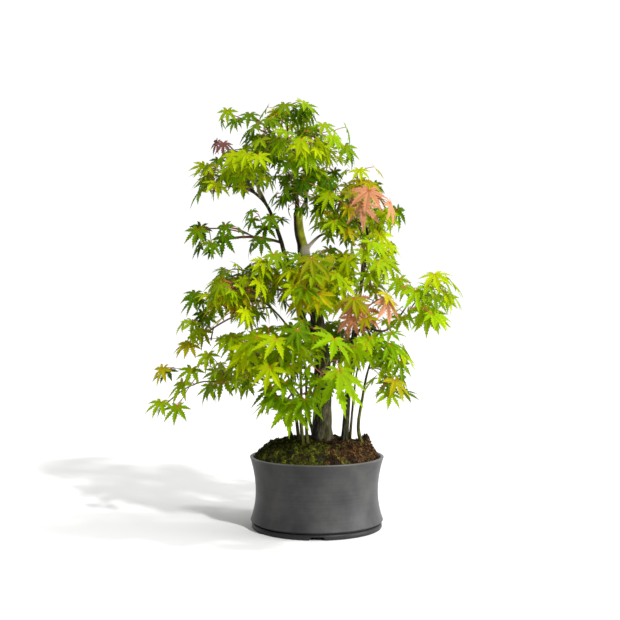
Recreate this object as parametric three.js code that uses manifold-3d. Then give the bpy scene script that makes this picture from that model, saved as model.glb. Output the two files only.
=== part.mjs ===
// Potted japanese maple: a clump of slender maple stems in a round waisted pot.
// Millimetres, +Z up, origin at the centre of the pot's flat underside, front of the plant towards -Y.

import * as THREE from "three";
import { mergeVertices } from "three/addons/utils/BufferGeometryUtils.js";
import Module from "manifold-3d";

const wasm = await Module();
wasm.setup();

// Clearance between pieces that touch, and one degree in radians
const GAP = 0.3;
const DEGREE = Math.PI / 180;
const UP = new THREE.Vector3(0, 0, 1);

// Pot: a thrown stoneware body that narrows to a waist, on a low foot ring
const POT_HEIGHT = 100;
const RIM_RADIUS = 95;
const WAIST_RADIUS = 86.6;
const WAIST_LEVEL = 50;
const BODY_RADIUS = 93.7;
const BODY_LEVEL = 11;
const BODY_CHAMFER = 1.6;
const FOOT_RADIUS = 92;
const FOOT_HEIGHT = 7.2;
const FOOT_CHAMFER = 1.2;
const GROOVE_RADIUS = 88.5;
const WALL = 5;
const LIP_ROUND = 1.6;
const POT_FLOOR = 12;
const POT_SIDES = 28;
const WALL_STEPS = 4;

// Drainage: notches through the foot, each with a channel that leads in to a hole
const NOTCH_COUNT = 3;
const NOTCH_WIDTH = 24;
const NOTCH_TOP_WIDTH = 16.7;
const NOTCH_HEIGHT = 4.5;
const NOTCH_DEPTH = 12;
const CHANNEL_WIDTH = 8;
const CHANNEL_HEIGHT = 2.5;
const HOLE_RADIUS = 5;
const HOLE_RING = 34;
const HOLE_SIDES = 12;

// Root ball, with its domed and mossy top
const MOUND_EDGE = 96;
const MOUND_RISE = 25;
const DOME_POWER = 6;
const MOUND_LUMP = 1.6;
const LUMP_PITCH = 12;
const MOUND_RINGS = 4;
const FOOT_DEPTH = 3;
const FOOT_SPARE = 5;

// Limbs
const TAPER_POWER = 1.25;
const FLARE_HEIGHT = 9;
const KNOT_LENGTH = 7;
const LIMB_STEP = 24;
const FEWEST_STEPS = 3;
const TRUNK_SIDES = 8;
const LIMB_SIDES = 6;
const THICK_LIMB = 5;

// Stems of the masses, twigs and leaf stalks
const STEM_RADII = [2.1, 1.7];
const TWIG_RADII = [1, 1];
const STALK_RADIUS = 0.48;
const TWIG_SIDES = 3;
const STEM_STEPS = 3;
const TWIG_STEPS = 1;
const ARCH_SHARE = 0.14;
const STEM_SWING = 0.05;
const LEAVING = 6;
const TWIG_START = 0.45;
const TWIG_REACH = 0.66;
const LIFT_SHARE = 0.2;
const STALK_SHARE = 0.6;
const FORK_SHARE = 0.9;
const PAIR_FORKS = [0.85, 0.93];

// How the leaves of a mass are set: turns, rises and dips in degrees
const TURN_RANGE = 300;
const LIFT_RANGE = 130;
const HEADING_SHARE = 0.55;
const PAIR_TURN = 48;
const PAIR_RISE = 8;
const PAIR_DIP = 54;
const LEADING_RISE = 0;
const LEADING_DIP = 62;
const LEAF_SWAY = 30;
const SWAY_PER_TRY = 4;
const SHRINK_PER_TRY = 0.02;
const BLADE_SPREAD = 0.2;

// Growing: seeds, tries and the room that each part keeps
const SEED_PER_MASS = 100003;
const SEED_PER_SLOT = 1013;
const STEM_TRIES = 60;
const TRIES = 24;
const CLEARANCE = 0.4;
const ROOM_SHARE = 0.62;
const LOWEST_LEAF = 128;

// Leaf blade: turn in degrees and reach, as a share of the blade's length, of the lobes and the notches
const LOBE_TURNS = [0, 37, 80];
const BASE_TURN = 220;
const LOBE_REACH = [1, 0.94, 0.7];
const NOTCH_REACH = [0.38, 0.36, 0.16];
const LEAF_THICKNESS = 1.8;
const LEAF_DROOP = 0.14;
const LOBE_HALF_WIDTH = 0.1;

// Limbs: radius at the foot and the tip, and the way from the foot or the carrying limb to the tip
const LIMBS = [
  { name: "trunk", foot: 14.6, tip: 6.4, flare: 3.4, knot: [0.82, 1.2],
    way: [[7, 0], [8, 0, 234], [3, -1, 278], [-12, -5, 355], [-19, -6, 391], [-25, -4, 418], [-27, 0, 448]] },
  { name: "stem_second", foot: 5.2, tip: 1.6, flare: 1.4,
    way: [[39, 5], [46, 1, 212], [52, -3, 272], [61, 0, 327], [72, 2, 400], [70, 0, 432]] },
  { name: "stem_right", foot: 2.7, tip: 1.2, flare: 1.2,
    way: [[66, 0], [59, 0, 137], [65, 0, 183], [73, -2, 222], [86, -6, 255]] },
  { name: "stem_slim", foot: 2, tip: 1, flare: 0.5, way: [[47, 25], [56, 20, 205], [64, 18, 250]] },
  { name: "stem_front", foot: 2.4, tip: 1.1, flare: 1,
    way: [[-13, -42], [-15, -42, 157], [-15, -45, 215], [-19, -52, 255]] },
  { name: "stem_arching", foot: 2.7, tip: 1.1, flare: 0.8,
    way: [[-19, -32], [-23, -28, 164], [-22, -28, 198], [-30, -34, 264], [-63, -40, 309], [-81, -43, 320]] },
  { name: "stem_crossing", foot: 2.3, tip: 1.1, flare: 0.6,
    way: [[-2, 20], [-18, 14, 173], [-37, 8, 202], [-50, 5, 243]] },
  { name: "stem_left_low", foot: 2.6, tip: 1, flare: 0.7,
    way: [[-32, 24], [-65, 5, 196], [-86, 0, 212], [-104, -4, 215], [-148, -10, 205]] },
  { name: "stem_back", foot: 2.7, tip: 1.4, flare: 0.7,
    way: [[-25, 8], [-28, 15, 141], [-36, 34, 197], [-37, 44, 222]] },
  { name: "bough_tall_left", carrier: "trunk", at: 0.37, foot: 5.4, tip: 2,
    way: [[-20, 8, 295], [-32, 10, 332], [-47, 8, 389], [-53, 5, 411], [-72, 0, 456], [-94, -4, 477]] },
  { name: "bough_crown_left", carrier: "trunk", at: 0.98, foot: 3.4, tip: 1.3,
    way: [[-30, -2, 476], [-34, -5, 511], [-42, -8, 543]] },
  { name: "bough_crown_right", carrier: "trunk", at: 0.97, foot: 3.3, tip: 1.3, knot: [0.16, 1],
    way: [[-16, 3, 458], [-17, 5, 482], [-14, 8, 513], [-4, 8, 540]] },
  { name: "bough_knob", carrier: "trunk", at: 0.82, foot: 3.2, tip: 1.2,
    way: [[4, -15, 410], [20, -22, 415]] },
  { name: "bough_back_low", carrier: "trunk", at: 0.27, foot: 3, tip: 1.4,
    way: [[14, 28, 240], [24, 50, 262]] },
  { name: "bough_back_high", carrier: "trunk", at: 0.56, foot: 2.8, tip: 1.3,
    way: [[-2, 30, 322], [-2, 56, 340]] },
  { name: "bough_right_low", carrier: "stem_second", at: 0.47, foot: 2.2, tip: 1,
    way: [[65, -8, 281], [92, -8, 276], [105, -5, 282], [119, 0, 299], [134, 0, 322]] },
];

// Masses of leaves: the limb that carries each and how far along it, the place of the leading leaf,
// the half width, depth and height of the mass, its leaves, their blade length, the way that they face
// in degrees from the front towards the right, and their colour
const MASSES = [
  { name: "crown_peak", limb: "bough_crown_left", at: 1, face: 10, tint: "fresh",
    centre: [-38, -18, 578], half: [31, 35, 25], leaves: 5, blade: 33 },
  { name: "crown_outer_left", limb: "bough_crown_left", at: 0.82, face: -25, tint: "deep",
    centre: [-104, -5, 580], half: [25, 28, 20], leaves: 2, blade: 27 },
  { name: "crown_right", limb: "bough_crown_right", at: 1, face: 25, tint: "bright",
    centre: [6, -20, 530], half: [36, 40, 36], leaves: 7, blade: 36 },
  { name: "crown_front", limb: "bough_crown_left", at: 0.47, face: 0, tint: "bright",
    centre: [-29, -70, 514], half: [32, 35, 30], leaves: 5, blade: 34 },
  { name: "crown_left", limb: "bough_crown_left", at: 0.77, face: -20, tint: "fresh",
    centre: [-73, -42, 537], half: [36, 35, 28], leaves: 5, blade: 32 },
  { name: "crown_purple", limb: "bough_tall_left", at: 1, face: -30, tint: "purple",
    centre: [-122, -18, 525], half: [24, 25, 18], leaves: 2, blade: 22 },
  { name: "crown_back", limb: "bough_crown_right", at: 0.64, face: 175, tint: "deep",
    centre: [-36, 60, 540], half: [56, 50, 45], leaves: 7, blade: 34 },
  { name: "crown_under", limb: "bough_crown_left", at: 0.21, face: -5, tint: "deep",
    centre: [-28, -42, 474], half: [34, 35, 33], leaves: 5, blade: 31 },
  { name: "crown_under_right", limb: "bough_crown_right", at: 0.36, face: 35, tint: "fresh",
    centre: [4, -15, 486], half: [25, 35, 31], leaves: 4, blade: 31 },
  { name: "shoulder_left", limb: "bough_tall_left", at: 0.97, face: -45, tint: "fresh",
    centre: [-140, -15, 484], half: [36, 38, 34], leaves: 5, blade: 36 },
  { name: "shoulder_front", limb: "bough_tall_left", at: 0.93, face: -10, tint: "bright",
    centre: [-94, -55, 494], half: [33, 35, 31], leaves: 5, blade: 35 },
  { name: "shoulder_back", limb: "bough_tall_left", at: 0.88, face: -150, tint: "deep",
    centre: [-112, 50, 500], half: [45, 45, 40], leaves: 6, blade: 34 },
  { name: "shelf_left", limb: "bough_tall_left", at: 0.66, face: -35, tint: "deep",
    centre: [-142, -8, 400], half: [42, 38, 34], leaves: 4, blade: 34 },
  { name: "shelf_inner", limb: "bough_tall_left", at: 0.77, face: -10, tint: "deep",
    centre: [-72, -35, 415], half: [25, 28, 30], leaves: 3, blade: 30 },
  { name: "right_top", limb: "stem_second", at: 1, face: 20, tint: "fresh",
    centre: [64, 2, 484], half: [28, 30, 26], leaves: 4, blade: 31 },
  { name: "right_pink", limb: "stem_second", at: 0.97, face: 20, tint: "pink",
    centre: [63, -50, 451], half: [31, 32, 30], leaves: 3, blade: 42 },
  { name: "right_edge", limb: "stem_second", at: 0.94, face: 25, tint: "bright",
    centre: [86, -8, 412], half: [26, 40, 50], leaves: 6, blade: 36 },
  { name: "right_mid", limb: "bough_knob", at: 1, face: 10, tint: "fresh",
    centre: [29, -45, 434], half: [30, 38, 38], leaves: 6, blade: 36 },
  { name: "right_back", limb: "stem_second", at: 0.88, face: 160, tint: "deep",
    centre: [58, 58, 441], half: [48, 50, 52], leaves: 7, blade: 34 },
  { name: "mid_left_far", limb: "stem_arching", at: 1, face: -45, tint: "deep",
    centre: [-147, -15, 306], half: [32, 38, 34], leaves: 4, blade: 38 },
  { name: "mid_left_top", limb: "bough_tall_left", at: 0.47, face: -40, tint: "fresh",
    centre: [-112, 0, 342], half: [50, 38, 30], leaves: 6, blade: 35 },
  { name: "mid_left_front", limb: "stem_arching", at: 0.97, face: -15, tint: "bronze",
    centre: [-108, -58, 320], half: [44, 38, 35], leaves: 6, blade: 38 },
  { name: "mid_left_back", limb: "bough_tall_left", at: 0.37, face: -150, tint: "deep",
    centre: [-101, 65, 328], half: [56, 48, 47], leaves: 7, blade: 36 },
  { name: "mid_centre_left", limb: "bough_tall_left", at: 0.55, face: -15, tint: "fresh",
    centre: [-65, -40, 347], half: [34, 35, 34], leaves: 5, blade: 33 },
  { name: "mid_low_left", limb: "stem_arching", at: 0.91, face: -45, tint: "bronze",
    centre: [-166, -10, 270], half: [37, 32, 28], leaves: 4, blade: 31 },
  { name: "mid_centre", limb: "trunk", at: 0.7, face: 0, tint: "bronze",
    centre: [-8, -72, 342], half: [46, 38, 42], leaves: 7, blade: 38 },
  { name: "mid_right_centre", limb: "trunk", at: 0.63, face: 20, tint: "bright",
    centre: [34, -50, 354], half: [34, 38, 36], leaves: 5, blade: 38 },
  { name: "mid_right", limb: "stem_second", at: 0.7, face: 30, tint: "bright",
    centre: [75, -35, 364], half: [36, 38, 41], leaves: 6, blade: 37 },
  { name: "mid_bronze", limb: "bough_right_low", at: 0.22, face: 15, tint: "pink",
    centre: [67, -55, 305], half: [38, 35, 27], leaves: 4, blade: 40 },
  { name: "mid_back", limb: "bough_back_high", at: 1, face: 180, tint: "deep",
    centre: [0, 92, 338], half: [60, 48, 60], leaves: 7, blade: 38 },
  { name: "right_spray", limb: "bough_right_low", at: 1, face: 15, tint: "bright",
    centre: [150, -25, 306], half: [48, 45, 60], leaves: 9, blade: 41 },
  { name: "low_left_far", limb: "stem_left_low", at: 1, face: -40, tint: "fresh",
    centre: [-190, -15, 192], half: [44, 40, 56], leaves: 5, blade: 38 },
  { name: "low_left_mid", limb: "stem_left_low", at: 0.84, face: -30, tint: "fresh",
    centre: [-133, -22, 211], half: [36, 35, 34], leaves: 4, blade: 38 },
  { name: "low_left_front", limb: "stem_crossing", at: 0.96, face: -20, tint: "bright",
    centre: [-97, -60, 236], half: [39, 38, 35], leaves: 4, blade: 46 },
  { name: "low_front_left", limb: "stem_left_low", at: 0.33, face: -10, tint: "vivid",
    centre: [-35, -75, 171], half: [40, 38, 43], leaves: 4, blade: 48 },
  { name: "low_centre_left", limb: "stem_front", at: 0.82, face: -10, tint: "bright",
    centre: [-60, -85, 243], half: [33, 35, 35], leaves: 4, blade: 46 },
  { name: "low_centre", limb: "stem_front", at: 1, face: 0, tint: "fresh",
    centre: [-19, -80, 253], half: [28, 32, 33], leaves: 4, blade: 42 },
  { name: "low_front", limb: "trunk", at: 0.3, face: 10, tint: "vivid",
    centre: [18, -95, 209], half: [37, 38, 63], leaves: 4, blade: 60 },
  { name: "low_right", limb: "stem_right", at: 1, face: 20, tint: "bright",
    centre: [77, -45, 257], half: [36, 38, 41], leaves: 6, blade: 40 },
  { name: "low_right_hang", limb: "stem_right", at: 0.77, face: 45, tint: "fresh",
    centre: [101, -10, 215], half: [28, 38, 51], leaves: 5, blade: 41 },
  { name: "low_back_left", limb: "stem_back", at: 1, face: -160, tint: "deep",
    centre: [-80, 60, 232], half: [58, 48, 50], leaves: 7, blade: 38 },
  { name: "low_back_right", limb: "bough_back_low", at: 1, face: 160, tint: "deep",
    centre: [44, 66, 250], half: [58, 48, 50], leaves: 7, blade: 40 },
];

// Finishes: colour and roughness of each material
const FINISHES = {
  stoneware: ["#3b3b3a", 0.5],
  moss: ["#4c5a24", 0.95],
  bark: ["#5b4a38", 0.8],
  bright: ["#8fbf17", 0.5],
  vivid: ["#7fc41c", 0.5],
  fresh: ["#74a31c", 0.5],
  deep: ["#3f7413", 0.5],
  bronze: ["#9c8f2c", 0.5],
  pink: ["#b5805a", 0.5],
  purple: ["#6b3b3a", 0.5],
};

/** Turns a closed geometry into a solid, with its shared vertices merged. */
function solidFrom(geometry) {
  geometry.deleteAttribute("normal");
  geometry.deleteAttribute("uv");
  const merged = mergeVertices(geometry);
  const index = merged.index.array;
  const triVerts = [];
  for (let i = 0; i < index.length; i += 3) {
    const corners = [index[i], index[i + 1], index[i + 2]];
    if (new Set(corners).size === 3) {
      triVerts.push(...corners);
    }
  }
  const mesh = new wasm.Mesh({
    numProp: 3,
    vertProperties: new Float32Array(merged.attributes.position.array),
    triVerts: new Uint32Array(triVerts),
  });
  return new wasm.Manifold(mesh);
}

/** The largest body of a solid, once cuts have parted it. */
function mainBody(solid) {
  const bodies = solid.decompose();
  return bodies.reduce((best, body) => (body.volume() > best.volume() ? body : best));
}

/** Adds a solid to the plant as a named mesh in one of the finishes. */
function addMesh(name, solid, finish) {
  const mesh = solid.getMesh();
  const geometry = new THREE.BufferGeometry();
  geometry.setAttribute("position", new THREE.BufferAttribute(mesh.vertProperties, 3));
  geometry.setIndex(new THREE.BufferAttribute(mesh.triVerts, 1));
  const [color, roughness] = FINISHES[finish];
  const piece = new THREE.Mesh(geometry, new THREE.MeshStandardMaterial({ color, roughness, metalness: 0 }));
  piece.name = name;
  group.add(piece);
}

/** A seeded source of numbers from 0 to 1, the same on every run. */
function seeded(seed) {
  let state = seed >>> 0;
  return () => {
    state = (state + 0x6d2b79f5) >>> 0;
    let mixed = Math.imul(state ^ (state >>> 15), state | 1);
    mixed ^= mixed + Math.imul(mixed ^ (mixed >>> 7), mixed | 61);
    return ((mixed ^ (mixed >>> 14)) >>> 0) / 4294967296;
  };
}

/** The level direction at an angle in degrees from the front, towards the right. */
function levelWay(degrees) {
  return new THREE.Vector3(Math.sin(degrees * DEGREE), -Math.cos(degrees * DEGREE), 0);
}

/** A level direction lifted by an angle in degrees. */
function raised(way, degrees) {
  const lifted = way.clone().multiplyScalar(Math.cos(degrees * DEGREE));
  return lifted.addScaledVector(UP, Math.sin(degrees * DEGREE));
}

// Pot

/** Radius of the pot's outside at a level between the foot and the rim. */
function potRadius(level) {
  const span = level > WAIST_LEVEL ? POT_HEIGHT - WAIST_LEVEL : WAIST_LEVEL - BODY_LEVEL;
  const widest = level > WAIST_LEVEL ? RIM_RADIUS : BODY_RADIUS;
  return WAIST_RADIUS + (widest - WAIST_RADIUS) * ((level - WAIST_LEVEL) / span) ** 2;
}

/** Points up the waisted wall between two levels, set in from the outside by a distance. */
function wallPoints(bottom, top, inset) {
  const points = [];
  for (let i = 0; i <= WALL_STEPS; i += 1) {
    const level = bottom + ((top - bottom) * i) / WALL_STEPS;
    points.push(new THREE.Vector2(potRadius(level) - inset, level));
  }
  return points;
}

/** A solid turned about the Z axis from a profile of radius and level. */
function turned(profile) {
  const geometry = new THREE.LatheGeometry(profile, POT_SIDES);
  geometry.rotateX(Math.PI / 2);
  return geometry;
}

/** The pot: foot, groove, waisted wall, rounded lip and floor, cut by its drainage. */
function potSolid() {
  const inside = wallPoints(POT_FLOOR, POT_HEIGHT - LIP_ROUND, WALL).reverse();
  const profile = [
    new THREE.Vector2(0, 0),
    new THREE.Vector2(FOOT_RADIUS - FOOT_CHAMFER, 0),
    new THREE.Vector2(FOOT_RADIUS, FOOT_CHAMFER),
    new THREE.Vector2(FOOT_RADIUS, FOOT_HEIGHT - FOOT_CHAMFER),
    new THREE.Vector2(GROOVE_RADIUS, FOOT_HEIGHT),
    new THREE.Vector2(GROOVE_RADIUS, BODY_LEVEL - BODY_CHAMFER),
    ...wallPoints(BODY_LEVEL, POT_HEIGHT - LIP_ROUND, 0),
    new THREE.Vector2(RIM_RADIUS - LIP_ROUND, POT_HEIGHT),
    new THREE.Vector2(RIM_RADIUS - WALL + LIP_ROUND, POT_HEIGHT),
    ...inside,
    new THREE.Vector2(0, POT_FLOOR),
  ];
  let pot = solidFrom(turned(profile));
  for (let i = 0; i < NOTCH_COUNT; i += 1) {
    const turn = (i * 2 * Math.PI) / NOTCH_COUNT;
    for (const cut of drainCuts()) {
      pot = pot.subtract(solidFrom(cut.rotateZ(turn)));
    }
  }
  return pot;
}

/** The notch, channel and hole of one drain, at the front. */
function drainCuts() {
  const below = 1;
  const outline = new THREE.Shape();
  outline.moveTo(-NOTCH_WIDTH / 2, -below);
  outline.lineTo(NOTCH_WIDTH / 2, -below);
  outline.lineTo(NOTCH_TOP_WIDTH / 2, NOTCH_HEIGHT);
  outline.lineTo(-NOTCH_TOP_WIDTH / 2, NOTCH_HEIGHT);
  const notch = new THREE.ExtrudeGeometry(outline, { depth: 2 * NOTCH_DEPTH, bevelEnabled: false });
  notch.rotateX(Math.PI / 2);
  notch.translate(0, -(FOOT_RADIUS - NOTCH_DEPTH), 0);
  const channelLength = FOOT_RADIUS - HOLE_RING;
  const channel = new THREE.BoxGeometry(CHANNEL_WIDTH, channelLength, 2 * CHANNEL_HEIGHT);
  channel.translate(0, -(HOLE_RING + channelLength / 2), 0);
  const hole = new THREE.CylinderGeometry(HOLE_RADIUS, HOLE_RADIUS, 3 * POT_FLOOR, HOLE_SIDES);
  hole.rotateX(Math.PI / 2);
  hole.translate(0, -HOLE_RING, 0);
  return [notch, channel, hole];
}

// Root ball

const MOUND_RADIUS = potRadius(MOUND_EDGE) - WALL - GAP;

/** Level of the mossy top over a place. */
function moundTop(x, y) {
  const dome = Math.max(0, 1 - (Math.hypot(x, y) / MOUND_RADIUS) ** DOME_POWER);
  const lump = Math.sin(x / LUMP_PITCH + 1) * Math.cos(y / LUMP_PITCH);
  return MOUND_EDGE + (MOUND_RISE + MOUND_LUMP * lump) * dome;
}

/** The root ball, which fills the pot and is domed above it, before the stems' sockets are cut. */
function moundSolid() {
  const bottom = POT_FLOOR + GAP;
  const profile = [new THREE.Vector2(0, bottom), ...wallPoints(bottom, MOUND_EDGE, WALL + GAP)];
  for (let i = MOUND_RINGS - 1; i >= 0; i -= 1) {
    profile.push(new THREE.Vector2((MOUND_RADIUS * i) / MOUND_RINGS, POT_HEIGHT));
  }
  const geometry = turned(profile);
  const position = geometry.attributes.position;
  for (let i = 0; i < position.count; i += 1) {
    if (position.getZ(i) > MOUND_EDGE + GAP) {
      position.setZ(i, moundTop(position.getX(i), position.getY(i)));
    }
  }
  return solidFrom(geometry);
}

// Limbs

/** One tapering limb along its curve. */
class Limb {
  constructor(sizes, carrier) {
    this.name = sizes.name;
    this.sizes = sizes;
    const way = sizes.way.map(([x, y, z]) => new THREE.Vector3(x, y, z));
    this.footLevel = 0;
    if (carrier) {
      way.unshift(carrier.place(sizes.at));
    } else {
      this.footLevel = moundTop(way[0].x, way[0].y) - FOOT_DEPTH;
      way[0].z = this.footLevel - FOOT_SPARE;
    }
    this.curve = new THREE.CatmullRomCurve3(way);
    this.length = this.curve.getLength();
    this.steps = Math.max(FEWEST_STEPS, Math.round(this.length / LIMB_STEP));
    this.bars = bundle(this.stretches());
  }

  /** The point on the axis at a share of the length. */
  place(share) {
    return this.curve.getPointAt(share);
  }

  /** The radius at a share of the length. */
  radius(share) {
    const { foot, tip, flare = 0, knot } = this.sizes;
    let radius = tip + (foot - tip) * (1 - share) ** TAPER_POWER;
    radius += flare * Math.exp((FOOT_SPARE - share * this.length) / FLARE_HEIGHT);
    if (knot) {
      radius += knot[1] * Math.exp(-((((share - knot[0]) * this.length) / KNOT_LENGTH) ** 2));
    }
    return radius;
  }

  /** The limb's solid with its foot cut flat, grown all round by a distance. */
  solid(grown) {
    const sides = this.sizes.foot > THICK_LIMB ? TRUNK_SIDES : LIMB_SIDES;
    const body = tube((share) => this.place(share), this.steps, sides, (share) => this.radius(share) + grown);
    return body.subtract(this.below(this.footLevel - grown));
  }

  /** Stretches of the axis with their radius, for measuring clearances. */
  stretches() {
    const list = [];
    for (let i = 0; i < this.steps; i += 1) {
      const radius = Math.max(this.radius(i / this.steps), this.radius((i + 1) / this.steps));
      list.push({ from: this.place(i / this.steps), to: this.place((i + 1) / this.steps), radius });
    }
    return list;
  }

  /** A block that takes in all that lies below a level. */
  below(level) {
    const block = new THREE.BoxGeometry(2 * POT_HEIGHT, 2 * POT_HEIGHT, POT_HEIGHT);
    block.translate(0, 0, level - POT_HEIGHT / 2);
    return solidFrom(block);
  }
}

/** A closed bar along a path, with the path's point and the radius given at each share of its length. */
function tube(placeAt, steps, sides, radiusAt) {
  const corners = Array.from({ length: sides }, (_, i) => (i * 2 * Math.PI) / sides);
  const section = new THREE.Shape(corners.map((turn) => new THREE.Vector2(Math.cos(turn), Math.sin(turn))));
  const geometry = new THREE.ExtrudeGeometry(section, { steps, depth: 1, bevelEnabled: false });
  const points = Array.from({ length: steps + 1 }, (_, i) => placeAt(i / steps));
  const frames = ringFrames(points);
  const position = geometry.attributes.position;
  for (let i = 0; i < position.count; i += 1) {
    const step = Math.round(position.getZ(i) * steps);
    const radius = radiusAt(step / steps);
    const place = points[step].clone();
    place.addScaledVector(frames[step].side, position.getX(i) * radius);
    place.addScaledVector(frames[step].back, position.getY(i) * radius);
    position.setXYZ(i, place.x, place.y, place.z);
  }
  return solidFrom(geometry);
}

/** Two directions across a path at each of its points, to its side and to its back. */
function ringFrames(points) {
  const last = points.length - 1;
  return points.map((point, i) => {
    const along = points[Math.min(i + 1, last)].clone().sub(points[Math.max(i - 1, 0)]).normalize();
    const side = new THREE.Vector3(along.z, 0, -along.x).normalize();
    return { side, back: along.clone().cross(side) };
  });
}

// Clearances

/** The least distance between two straight stretches. */
function stretchDistance(a, b) {
  const alongA = a.to.clone().sub(a.from);
  const alongB = b.to.clone().sub(b.from);
  const apart = a.from.clone().sub(b.from);
  const lengthA = alongA.lengthSq();
  const lengthB = alongB.lengthSq();
  const mixed = alongA.dot(alongB);
  const startA = alongA.dot(apart);
  const startB = alongB.dot(apart);
  const spread = lengthA * lengthB - mixed * mixed;
  let shareA = spread > 0 ? THREE.MathUtils.clamp((mixed * startB - startA * lengthB) / spread, 0, 1) : 0;
  let shareB = (mixed * shareA + startB) / lengthB;
  if (shareB < 0 || shareB > 1) {
    shareB = THREE.MathUtils.clamp(shareB, 0, 1);
    shareA = THREE.MathUtils.clamp((mixed * shareB - startA) / lengthA, 0, 1);
  }
  return apart.addScaledVector(alongA, shareA).addScaledVector(alongB, -shareB).length();
}

/** Stretches with the ball round them, by which most clearances are seen at once. */
function bundle(stretches) {
  const centre = new THREE.Vector3();
  for (const { from, to } of stretches) {
    centre.addScaledVector(from, 0.5 / stretches.length).addScaledVector(to, 0.5 / stretches.length);
  }
  const reaches = stretches.map(({ from, to, radius }) => {
    return Math.max(from.distanceTo(centre), to.distanceTo(centre)) + radius;
  });
  return { stretches, centre, reach: Math.max(...reaches) };
}

/** Whether two bundles of stretches stay clear of each other. */
function clear(one, other) {
  if (one.centre.distanceTo(other.centre) > one.reach + other.reach + CLEARANCE) {
    return true;
  }
  return one.stretches.every((a) =>
    other.stretches.every((b) => stretchDistance(a, b) > a.radius + b.radius + CLEARANCE),
  );
}

// Leaves

/** Turn in degrees and reach of each point of the blade's outline, from its base on one side to the other. */
function outlinePoints() {
  const oneSide = [];
  LOBE_TURNS.forEach((turn, lobe) => {
    const next = LOBE_TURNS[lobe + 1] ?? BASE_TURN;
    oneSide.push({ turn, reach: LOBE_REACH[lobe] });
    oneSide.push({ turn: (turn + next) / 2, reach: NOTCH_REACH[lobe] });
  });
  const otherSide = oneSide.slice(1).map(({ turn, reach }) => ({ turn: -turn, reach }));
  return [...otherSide.reverse(), ...oneSide];
}

/** One leaf: a stalk from a fork, and a blade that lies along its heading, dipped and rolled by degrees. */
class Leaf {
  constructor(fork, heading, rise, dip, roll, length) {
    const way = levelWay(heading);
    const stalk = raised(way, rise);
    this.length = length;
    this.fork = fork;
    this.foot = fork.clone().addScaledVector(stalk, STALK_SHARE * length);
    this.along = raised(way, -dip);
    const upright = raised(way, 90 - dip);
    const level = upright.clone().cross(this.along);
    this.normal = upright.multiplyScalar(Math.cos(roll * DEGREE));
    this.normal.addScaledVector(level, Math.sin(roll * DEGREE));
    this.across = this.normal.clone().cross(this.along);
    this.edge = outlinePoints().map((point) => this.edgePlace(point));
    this.lobes = bundle(this.lobeStretches());
    this.stalk = bundle([{ from: fork, to: this.foot, radius: STALK_RADIUS }]);
  }

  /** The place of one point of the outline, lowered by the blade's droop. */
  edgePlace({ turn, reach }) {
    const out = reach * this.length;
    const place = this.foot.clone();
    place.addScaledVector(this.along, out * Math.cos(turn * DEGREE));
    place.addScaledVector(this.across, out * Math.sin(turn * DEGREE));
    return place.addScaledVector(this.normal, -LEAF_DROOP * reach * out);
  }

  /** The stretch of each lobe, from the foot to its tip. */
  lobeStretches() {
    const tips = this.edge.filter((_, point) => point % 2 === 1);
    return tips.map((to) => ({ from: this.foot, to, radius: LOBE_HALF_WIDTH * this.length }));
  }

  /** The leaf's solid: a blade that thins out from its foot to its edge, and the stalk that runs into it. */
  solid() {
    const last = this.edge.length - 1;
    const top = this.foot.clone().addScaledVector(this.normal, LEAF_THICKNESS / 2);
    const bottom = this.foot.clone().addScaledVector(this.normal, -LEAF_THICKNESS / 2);
    const seat = [top, this.edge[0], bottom, this.edge[last]];
    const root = seat.map((corner) => this.rootCorner(corner));
    const faces = [[root[0], root[3], root[2]], [root[0], root[2], root[1]]];
    for (let point = 0; point < last; point += 1) {
      faces.push([top, this.edge[point], this.edge[point + 1]]);
      faces.push([bottom, this.edge[point + 1], this.edge[point]]);
    }
    for (let corner = 0; corner < seat.length; corner += 1) {
      const next = (corner + 1) % seat.length;
      faces.push([seat[next], seat[corner], root[corner]]);
      faces.push([seat[next], root[corner], root[next]]);
    }
    return solidFrom(new THREE.BufferGeometry().setFromPoints(faces.flat()));
  }

  /** The corner of the stalk's root that faces the same way as a corner of its seat on the blade. */
  rootCorner(corner) {
    const stalk = this.foot.clone().sub(this.fork).normalize();
    const away = corner.clone().sub(this.foot);
    away.addScaledVector(stalk, -away.dot(stalk)).setLength(STALK_RADIUS);
    return away.add(this.fork);
  }
}

/** A three-sided bar that tapers along an arch, in straight stretches between its rings. */
class Shoot {
  constructor(from, to, arch, radii, steps) {
    const curve = new THREE.QuadraticBezierCurve3(from, from.clone().lerp(to, 0.5).add(arch), to);
    this.rings = curve.getPoints(steps);
    this.radii = radii;
    const list = this.rings.slice(1).map((ring, i) => ({ from: this.rings[i], to: ring, radius: radii[0] }));
    this.bars = bundle(list);
  }

  /** The point on the bar's axis at a share of its stretches. */
  place(share) {
    const at = share * (this.rings.length - 1);
    const before = Math.min(Math.floor(at), this.rings.length - 2);
    return this.rings[before].clone().lerp(this.rings[before + 1], at - before);
  }

  /** The bar's solid. */
  solid() {
    const radiusAt = (share) => THREE.MathUtils.lerp(this.radii[0], this.radii[1], share);
    return tube((share) => this.place(share), this.rings.length - 1, TWIG_SIDES, radiusAt);
  }
}

// Masses of leaves

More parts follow.
